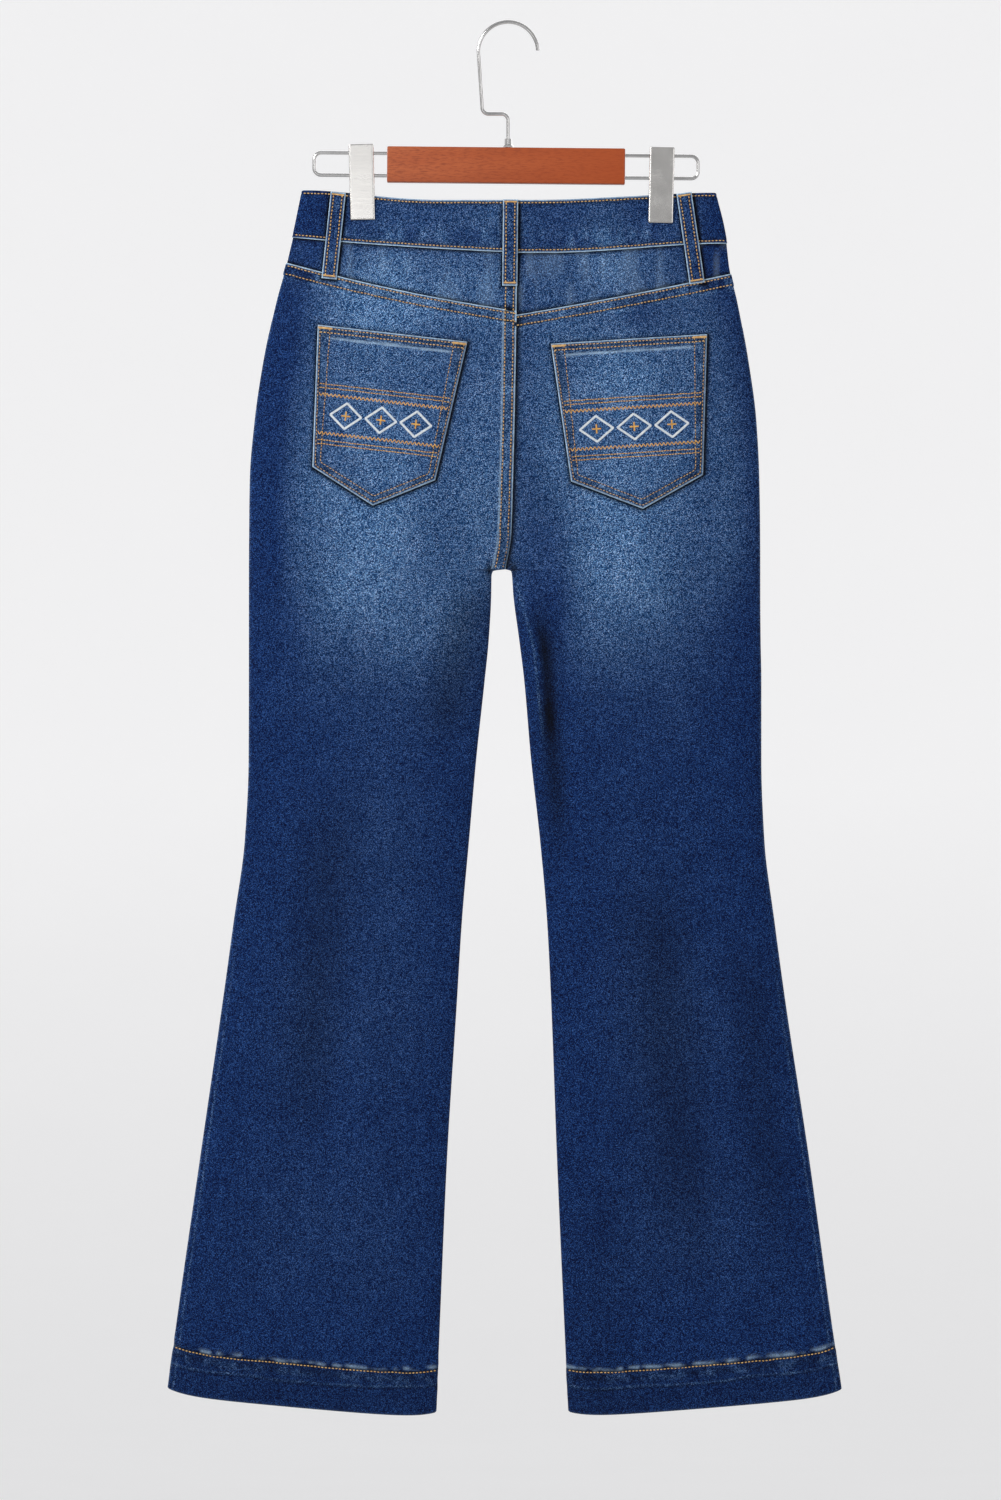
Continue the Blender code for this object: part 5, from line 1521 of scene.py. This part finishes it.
def pocket_row(shape, side_top, side_low, point_gap):
    """A stitch line down the inner side, round the point and up the outer side."""
    return [
        meet(shape, TOP_EDGE, 2.0, INNER_EDGE, side_top),
        meet(shape, LOW_INNER_EDGE, point_gap, INNER_EDGE, side_low),
        meet(shape, LOW_INNER_EDGE, point_gap, LOW_OUTER_EDGE, point_gap),
        meet(shape, LOW_OUTER_EDGE, point_gap, OUTER_EDGE, side_low),
        meet(shape, TOP_EDGE, 2.0, OUTER_EDGE, side_top),
    ]


def on_pocket(shape):
    return lambda x, drop: surface_at(BACK, x, drop, pocket_out(shape, x, drop))


def sew_pocket(batch, side):
    shape = POCKETS[side]
    place = on_pocket(shape)
    for gap in (2.3, 5.9):
        sew(batch, place, [meet(shape, TOP_EDGE, gap, edge, 1.6) for edge in (INNER_EDGE, OUTER_EDGE)])
    sew(batch, place, pocket_row(shape, 2.2, 2.4, 2.5), radius=FINE_RADIUS)
    sew(batch, place, pocket_row(shape, 10.8, 6.6, 7.2), radius=FINE_RADIUS)
    for edge in (INNER_EDGE, OUTER_EDGE):
        bartack(batch, place, *(meet(shape, TOP_EDGE, 2.2, edge, gap) for gap in (0.6, 12.2)))


def sew_loop(batch, loop):
    length = loop.drop_low - loop.drop_top
    lean = (loop.x_low - loop.x_top) / length

    def middle(t):
        return loop.x_top + (loop.x_low - loop.x_top) * t, loop.drop_top + length * t

    def place(x, drop):
        t = np.clip((drop + (x - loop.x_top) * lean - loop.drop_top) / length, 0.0, 1.0)
        return surface_at(loop.face, x, drop, loop_course(loop, t)[2] + LOOP_WALL - 0.12)

    for across in (-LOOP_STITCH, LOOP_STITCH):
        sew(batch, place, [(x + across, drop) for x, drop in (middle(0.03), middle(0.97))])
    for t in (0.028, 0.965):
        x, drop = middle(t)
        bartack(batch, place, (x - 5.2, drop + 5.2 * lean), (x + 5.2, drop - 5.2 * lean), 1.5)


def sew_hem(batch, face, side):
    share = np.concatenate([[0.006, 0.012], np.linspace(0.02, 0.98, 160), [0.988, 0.994]])
    drop = hem_drop(face, side, share) - HEM_LINE
    x = x_at(side, share, drop)
    line = np.stack([x, drop + 0.55 * hem_rope(face, x, HEM_LINE)], axis=1)
    sew(batch, on_cloth(face, -0.02), line, wander=0.08)


def scoop_line(side, offset):
    """A line inside a scooped front pocket mouth, this far from its edge."""
    angle = np.linspace(0.0, math.pi / 2, 70)
    share = SCOOP_SHARE * np.sin(angle)
    width = 190.0
    drop = seam_drop(WAIST_SEAM[FRONT, side], share) + SCOOP_DROP * np.cos(angle)
    along = unit(np.stack([SCOOP_SHARE * width * np.cos(angle), -SCOOP_DROP * np.sin(angle)], axis=1))
    drop = drop + offset * along[:, 0]
    share = share - offset * along[:, 1] / width
    keep = drop > seam_drop(WAIST_SEAM[FRONT, side], np.minimum(share, 1.0)) + 0.5
    drop, share = drop[keep], np.maximum(share[keep], 0.004)
    return np.stack([x_at(side, share, drop), drop], axis=1)


def sew_front(batch):
    for side in (LEFT, RIGHT):
        for offset in (2.2, 8.6):
            sew(batch, on_cloth(FRONT, 0.25), scoop_line(side, offset))
    waist = WAIST_SEAM[FRONT, LEFT].centre
    for inset in (3.0, 8.5):
        x = FLY_LEFT + inset + (FLY_RIGHT - FLY_LEFT - inset - 4.0) * np.linspace(0.0, 1.0, 60)
        share = (x - FLY_LEFT - inset) / (FLY_RIGHT - FLY_LEFT - inset)
        length = FLY_SHORT - inset + (FLY_LONG - FLY_SHORT) * np.sqrt(1.0 - (1.0 - share) ** 2)
        curve = np.stack([x, waist + length], axis=1)
        sew(batch, on_cloth(FRONT, FLY_LIFT + PATCH_WALL), [(FLY_LEFT + inset, waist + 1.0), *curve])
    bartack(batch, on_cloth(FRONT, FLY_LIFT + 0.03 + PATCH_WALL), (-8.0, 346.0), (2.0, 350.5))


# ---------------------------------------------------------------- pocket embroidery, a plain geometric border

ROWS_BELOW = (50.0, 53.2, 98.0, 101.2)  # all below the pocket's top
ZIGZAGS_BELOW = (59.0, 92.0)
LOZENGES_BELOW = 75.5
LOZENGES = 3
LOZENGE_HALF_HEIGHT = 11.0
CROSS_ARM = 3.6


def satin(batch, place, line, width=2.1, pitch=0.5):
    """A corded line: close stitches across it."""
    marks = resampled(line, pitch)
    along = unit(np.gradient(marks, axis=0))
    across = np.stack([-along[:, 1], along[:, 0]], axis=1) * width / 2
    batch.add(place(*(marks - across).T), place(*(marks + across).T), outward(place, marks), 0.36, 0.22)


def embroider(gold, white, side):
    """Straight double rows, a row of open lozenges and a zigzag, level with the pocket's top."""
    shape = POCKETS[side]
    place = on_pocket(shape)
    start, end = pocket_edges(shape)[TOP_EDGE]
    along_top = (end - start) / np.linalg.norm(end - start)
    down = np.array([-along_top[1], along_top[0]])
    down = down if down[1] > 0 else -down

    def level(below, inset=3.4):
        """A line across the pocket, this far below its top."""
        return [meet(shape, TOP_EDGE, below, edge, inset) for edge in (OUTER_EDGE, INNER_EDGE)]

    for below in ROWS_BELOW:
        sew(gold, place, level(below), pitch=2.4, length=2.1, radius=0.42)
    for below in ZIGZAGS_BELOW:
        a, b = level(below)
        zigzag(gold, place, a, b, down * 1.5, int(np.linalg.norm(b - a) / 1.7), 0.4, 0.2)
    a, b = level(LOZENGES_BELOW, 12.0)
    span = (b - a) / LOZENGES
    across = span / np.linalg.norm(span)
    wide, high = span * 0.44, down * LOZENGE_HALF_HEIGHT
    for k in range(LOZENGES):
        centre = a + span * (k + 0.5)
        corners = [centre - wide, centre - high, centre + wide, centre + high]
        for start, end in zip(corners, corners[1:] + corners[:1]):
            satin(white, place, [start, end])
        for arm in (across * CROSS_ARM, down * CROSS_ARM):
            satin(gold, place, [centre - arm, centre + arm], 1.5)


# ---------------------------------------------------------------- hanger and metal

WIRE = 3.2
HOOK_WIRE = 3.4
HOOK_RADIUS = 25.5
HOOK_BEND = 5.5
SHOULDER_Z, SHANK_END_Z = -77.4, -103.4
HANGER_TILT = 0.55
BAR_CENTRE = (-1.7, -121.9)
BAR_LENGTH, BAR_HEIGHT, BAR_DEPTH = 204.5, 30.8, 13.0
BAR_EASING = 1.3
WIRE_REACH = 64.5
WIRE_APART = 19.2
WIRE_CORNER = 6.0
PLATE_WIDTH, PLATE_LENGTH, PLATE_WALL = 21.6, 65.0, 1.2
PLATE_TOP = {LEFT: -103.6, RIGHT: -106.2}  # the right one hangs lower than its solid, as in the photograph
PLATE_LEAN = 1.3
PLATE_Y = 3.35
PLATE_BEND = 1.3
FLANGE_DEPTH, FLANGE_LENGTH, FLANGE_WALL = 1.3, 36.0, 0.7
SPRING_LENGTH, SPRING_COIL, SPRING_WIRE, SPRING_TURNS = 13.0, 2.5, 0.9, 9


def in_bar_frame(x, y, z):
    """A point given in the tilted bar's frame, in the part's frame."""
    tilt = math.radians(HANGER_TILT)
    return (
        BAR_CENTRE[0] + x * math.cos(tilt) + z * math.sin(tilt),
        y,
        BAR_CENTRE[1] - x * math.sin(tilt) + z * math.cos(tilt),
    )


def arc(centre, radius, start, end, steps):
    angles = np.radians(np.linspace(start, end, steps))
    return [(centre[0] + radius * math.cos(a), 0.0, centre[1] + radius * math.sin(a)) for a in angles]


def solid(name, points, sides, finish):
    """A closed piece from rings of points in millimetres, one after another, with a cap on each end."""
    rings = np.arange(len(points)).reshape(-1, sides)
    ahead = np.roll(rings, -1, axis=1)
    faces = np.stack([rings[:-1], ahead[:-1], ahead[1:], rings[1:]], axis=-1).reshape(-1, 4).tolist()
    faces += [rings[0][::-1].tolist(), rings[-1].tolist()]
    mesh = bpy.data.meshes.new(name)
    mesh.from_pydata((np.asarray(points) * MM).tolist(), [], faces)
    work = bmesh.new()
    work.from_mesh(mesh)
    bmesh.ops.recalc_face_normals(work, faces=work.faces)
    if work.calc_volume(signed=True) < 0:
        bmesh.ops.reverse_faces(work, faces=work.faces)
    work.to_mesh(mesh)
    work.free()
    mesh.shade_smooth()
    mesh.set_sharp_from_angle(angle=math.radians(50))
    mesh.materials.append(finish)
    return link(bpy.data.objects.new(name, mesh))


def tube(name, path, diameter, sides=20):
    """A round wire along a path of points in millimetres, its ends slightly rounded."""
    path = np.asarray(path, float)
    along = np.gradient(path, axis=0)
    along /= np.linalg.norm(along, axis=1, keepdims=True)
    normal = np.cross(along[0], (0.0, 1.0, 0.0) if abs(along[0][1]) < 0.9 else (1.0, 0.0, 0.0))
    frames = []
    for direction in along:
        normal = normal - direction * np.dot(normal, direction)
        normal /= np.linalg.norm(normal)
        frames.append((normal, np.cross(direction, normal)))
    full, rounded = diameter / 2, diameter / 2 * 0.75
    stations = [(path[0], frames[0], rounded), (path[0] + along[0] * 0.3, frames[0], full)]
    stations += [(point, frame, full) for point, frame in zip(path[1:-1], frames[1:-1])]
    stations += [(path[-1] - along[-1] * 0.3, frames[-1], full), (path[-1], frames[-1], rounded)]
    turns = [2 * math.pi * k / sides for k in range(sides)]
    points = [c + r * (u * math.cos(a) + v * math.sin(a)) for c, (u, v), r in stations for a in turns]
    return solid(name, points, sides, STEEL)


def hook():
    centre = (0.0, -HOOK_RADIUS + HOOK_WIRE / 2)
    shank_x = -HOOK_RADIUS + 3.2
    path = arc(centre, HOOK_RADIUS, 2, 180, 60)
    path += arc((shank_x + HOOK_BEND, SHOULDER_Z + HOOK_BEND), HOOK_BEND, 186, 270, 14)
    path += arc((-HOOK_BEND, SHOULDER_Z - HOOK_BEND), HOOK_BEND, 90, 0, 14)
    path.append((0.0, 0.0, SHANK_END_Z))
    placed(tube("hook", path, HOOK_WIRE, 24), "steel", "hanger_hook")


def wire_loop(side):
    start = side * (BAR_LENGTH / 2 + SEAM_GAP)
    end = side * (BAR_LENGTH / 2 + WIRE_REACH - WIRE / 2)
    half = WIRE_APART / 2
    corner = end - side * WIRE_CORNER
    turn = arc((corner, half - WIRE_CORNER), WIRE_CORNER, 90, 0, 14)
    turn += arc((corner, -half + WIRE_CORNER), WIRE_CORNER, 0, -90, 14)
    if side == LEFT:
        turn = [(2 * corner - x, y, z) for x, y, z in turn]
    path = [in_bar_frame(*p) for p in [(start, 0.0, half), *turn, (start, 0.0, -half)]]
    name = f"wire_{SIDE_NAME[side]}"
    placed(tube(name, path, WIRE), "steel", f"hanger_{name}")


def spring(side):
    """Coils of a torsion spring round the lower wire."""
    steps = np.linspace(0.0, SPRING_TURNS * 2 * math.pi, SPRING_TURNS * 16)
    travel = SPRING_LENGTH - SPRING_WIRE
    start = CLIP_X[side] - BAR_CENTRE[0] - travel / 2
    path = []
    for a in steps:
        y, z = SPRING_COIL * math.cos(a), SPRING_COIL * math.sin(a) - WIRE_APART / 2
        path.append(in_bar_frame(start + travel * a / steps[-1], y, z))
    name = f"clip_{SIDE_NAME[side]}_spring"
    placed(tube(name + "_coil", path, SPRING_WIRE, 8), "steel", name)


def plate_profiles():
    """A plate's outline across it, as (x, y) with y outwards: with its turned-in flanges, and flat."""
    half, outer, tip = PLATE_WIDTH / 2, PLATE_Y + PLATE_WALL, PLATE_Y - FLANGE_DEPTH
    turns = np.linspace(0.0, math.pi / 2, 6)
    centre_x, centre_y = half - PLATE_BEND, outer - PLATE_BEND
    bend = [(centre_x + PLATE_BEND * math.sin(a), centre_y + PLATE_BEND * math.cos(a)) for a in turns]
    right = [(centre_x - 0.8, outer), *bend, (half, tip)]
    right += [(half - FLANGE_WALL, y) for y in (tip, PLATE_Y)]
    left = [(-x, y) for x, y in reversed(right)]
    flanged = left[2:] + right + left[:2]
    return flanged, [(x, max(y, PLATE_Y)) for x, y in flanged]


def clip(side, face):
    """A pressed plate whose sides turn in above the cloth, with softly rounded bends."""
    flanged, flat = plate_profiles()
    levels = [(0.0, 0.35, flanged)]
    levels += [(z, 0.0, flanged) for z in (-0.35, -1.2, -FLANGE_LENGTH)]
    levels += [(z, 0.0, flat) for z in (-FLANGE_LENGTH - 2.2, -PLATE_LENGTH + 1.2, -PLATE_LENGTH + 0.4)]
    levels += [(-PLATE_LENGTH, 0.3, flat)]
    middle_y = np.mean(flanged, axis=0)[1]
    lean = math.radians(side * PLATE_LEAN)
    points = []
    for z, shrink, outline in levels:
        for x, y in outline:
            x, y = x - np.sign(x) * shrink, y + np.sign(middle_y - y) * shrink * 0.5
            leaned_x = CLIP_X[side] + x * math.cos(lean) + z * math.sin(lean)
            points.append((leaned_x, face * y, PLATE_TOP[side] - x * math.sin(lean) + z * math.cos(lean)))
    node = f"clip_{SIDE_NAME[side]}_{'near' if face == BACK else 'far'}"
    placed(solid(node + "_plate", points, len(flanged), NICKEL), "nickel", node)


def bar():
    """The wooden bar, its edges eased."""
    work = bmesh.new()
    bmesh.ops.create_cube(work, size=1.0)
    bmesh.ops.scale(work, vec=(BAR_LENGTH * MM, BAR_DEPTH * MM, BAR_HEIGHT * MM), verts=work.verts)
    bmesh.ops.bevel(
        work, geom=list(work.edges), offset=BAR_EASING * MM, segments=4, affect="EDGES", profile=0.6
    )
    mesh = bpy.data.meshes.new("bar_wood")
    work.to_mesh(mesh)
    work.free()
    mesh.shade_smooth()
    mesh.set_sharp_from_angle(angle=math.radians(35))
    mesh.materials.append(WOOD)
    made = link(bpy.data.objects.new("bar_wood", mesh))
    made.location = (BAR_CENTRE[0] * MM, 0.0, BAR_CENTRE[1] * MM)
    made.rotation_euler = (0.0, math.radians(HANGER_TILT), 0.0)
    placed(made, "wood", "hanger_bar")


def finish_cad_nodes():
    """The collar, the button and the zip are the solids themselves."""
    for name, look in (("hook_collar", STEEL), ("waist_button", BRASS), ("fly_zip", BRASS)):
        mesh = frame["nodes"][name].data
        mesh.materials.clear()
        mesh.materials.append(look)
        mesh.shade_smooth()
        mesh.set_sharp_from_angle(angle=math.radians(35))


# ---------------------------------------------------------------- building it all


def build():
    back, front, gold, white = Sewing(), Sewing(), Sewing(), Sewing()
    for side in (LEFT, RIGHT):
        for face in (BACK, FRONT):
            leg_panel(face, side)
        yoke(side)
        back_pocket(side)
        pocket_facing(side)
        sew_pocket(back, side)
        sew_hem(back, BACK, side)
        sew_hem(front, FRONT, side)
        embroider(gold, white, side)
    waistband()
    fly_lap()
    for name, loop in LOOPS.items():
        belt_loop(name)
        sew_loop(back if loop.face == BACK else front, loop)
    sew_waistband(back)
    sew_yoke_seam(back)
    sew_centre(back, BACK)
    sew_centre(front, FRONT)
    sew_front(front)
    back.make("topstitching_back", GOLD, "thread")
    front.make("topstitching_front", GOLD, "thread")
    gold.make("pocket_embroidery_gold", GOLD_BRIGHT, "thread")
    white.make("pocket_embroidery_white", WHITE, "embroidery")
    hook()
    bar()
    for side in (LEFT, RIGHT):
        wire_loop(side)
        spring(side)
        for face in (BACK, FRONT):
            clip(side, face)
    finish_cad_nodes()


ACROSS_SPARE, ALONG_SPARE = 1.04, 1.02  # a hanging panel's cloth is this much larger than its box


def declare_cloth():
    """Works out each cut piece's flat size, along its own surface, and its area; nothing further is done with
    them.
    """
    for made in SHEETS:
        low = np.min([v.co[:] for v in made.data.vertices], axis=0)
        high = np.max([v.co[:] for v in made.data.vertices], axis=0)
        width, length = (high[0] - low[0]) * ACROSS_SPARE, (high[2] - low[2]) * ALONG_SPARE
        if made.name in FLAT:
            width, length = (size * MM for size in FLAT[made.name])
        width, length = float(width), float(length)
        area = min(sum(polygon.area for polygon in made.data.polygons) / 2, width * length)


# ---------------------------------------------------------------- stage, light and camera, in metres

WALL_RADIUS, SWEEP_CURVE, WALL_HEIGHT, FLOOR_Z = 8.4, 4.2, 8.65, -2.02
SWEEP_SIDES = 96
WALL_GLOW, NEAR_GLOW = 0.58, 0.10
WORLD_LIGHT = 0.42
LIT_PLACE = (0.0, 0.0, -0.62)
CARD_X, CARD_Z = -0.24, -0.11
CAMERA_DISTANCE = 6.5
FRAME_HEIGHT = 1.29
SENSOR = 36.0
VIEW_X, VIEW_Z = -0.0065, -0.6244


def sweep_material():
    """A pale floor and wall that glow as painted light: brightest on the wall beyond the part, dimmer on the
    half that faces its back, and fading towards the floor.
    """
    n = Nodes("pale_sweep")
    place = n.add("ShaderNodeTexCoord").outputs["Object"]
    tone = n.noise(place, 3.0, 4.0, 0.6)
    n.link(n.mix(tone, (0.50, 0.50, 0.505, 1.0), (0.53, 0.53, 0.535, 1.0)), n.shader.inputs["Base Color"])
    parts = n.add("ShaderNodeSeparateXYZ")
    n.link(place, parts.inputs[0])
    beyond = n.spread(parts.outputs["Y"], -2.8, 5.6)
    up = n.spread(parts.outputs["Z"], FLOOR_Z, FLOOR_Z + 1.3, 0.76, 1.0)
    glow = n.math("ADD", n.math("MULTIPLY", beyond, WALL_GLOW - NEAR_GLOW), NEAR_GLOW)
    n.link(n.math("MULTIPLY", glow, up), n.shader.inputs["Emission Strength"])
    n.set(Roughness=0.9, Emission_Color=(1.0, 0.997, 1.0, 1.0), Specular_IOR_Level=0.0)
    return n.material


def stage():
    """A pale round sweep: a floor that curves up into a wall far from the part on every side."""
    profile = [(2.0, FLOOR_Z), (WALL_RADIUS, FLOOR_Z)]
    for a in np.linspace(0.0, math.pi / 2, 13)[1:]:
        profile.append((WALL_RADIUS + SWEEP_CURVE * math.sin(a), FLOOR_Z + SWEEP_CURVE * (1.0 - math.cos(a))))
    profile.append((WALL_RADIUS + SWEEP_CURVE, WALL_HEIGHT))
    turns = [2 * math.pi * k / SWEEP_SIDES for k in range(SWEEP_SIDES)]
    points = [(0.0, 0.0, FLOOR_Z)]
    points += [(r * math.cos(a), r * math.sin(a), z) for r, z in profile for a in turns]
    rings = 1 + np.arange(len(points) - 1).reshape(-1, SWEEP_SIDES)
    ahead = np.roll(rings, -1, axis=1)
    faces = [(0, a, b) for a, b in zip(rings[0].tolist(), ahead[0].tolist())]
    faces += np.stack([rings[:-1], rings[1:], ahead[1:], ahead[:-1]], axis=-1).reshape(-1, 4).tolist()
    mesh = bpy.data.meshes.new("studio_sweep")
    mesh.from_pydata(points, [], faces)
    mesh.shade_smooth()
    mesh.materials.append(sweep_material())
    link(bpy.data.objects.new("studio_sweep", mesh))


def area_light(name, place, target, size, power):
    data = bpy.data.lights.new(name, "AREA")
    data.shape = "RECTANGLE"
    data.size, data.size_y = size
    data.energy = power
    made = link(bpy.data.objects.new(name, data))
    made.location = place
    made.rotation_euler = (Vector(target) - Vector(place)).to_track_quat("-Z", "Y").to_euler()
    return made


def lights():
    world = bpy.data.worlds.new("studio")
    bpy.context.scene.world = world
    world.use_nodes = True
    background = world.node_tree.nodes["Background"]
    background.inputs["Color"].default_value = (0.97, 0.98, 1.0, 1.0)
    background.inputs["Strength"].default_value = WORLD_LIGHT
    area_light("key", (-1.6, -1.9, 0.75), LIT_PLACE, (1.0, 1.0), 46.0)
    area_light("fill", (2.1, -2.5, -0.3), LIT_PLACE, (1.8, 2.2), 15.0)
    area_light("beyond", (0.3, 3.0, 0.9), LIT_PLACE, (2.4, 2.0), 25.0)
    # A small card that the left clip's satin plate mirrors.
    card = area_light("card", (CARD_X, -1.2, CARD_Z), (CARD_X, 0.0, CARD_Z), (0.36, 0.23), 0.36)
    card.visible_camera = False


def camera():
    scene = bpy.context.scene
    data = bpy.data.cameras.new("camera")
    data.sensor_width = SENSOR
    data.lens = SENSOR * CAMERA_DISTANCE / FRAME_HEIGHT
    scene.camera = link(bpy.data.objects.new("camera", data))
    scene.camera.location = (VIEW_X, -CAMERA_DISTANCE, VIEW_Z)
    scene.camera.rotation_euler = (math.pi / 2, 0.0, 0.0)
    scene.view_settings.view_transform = "Standard"
    scene.view_settings.look = "None"


lights()
camera()
stage()
build()
bpy.context.view_layer.update()
declare_cloth()
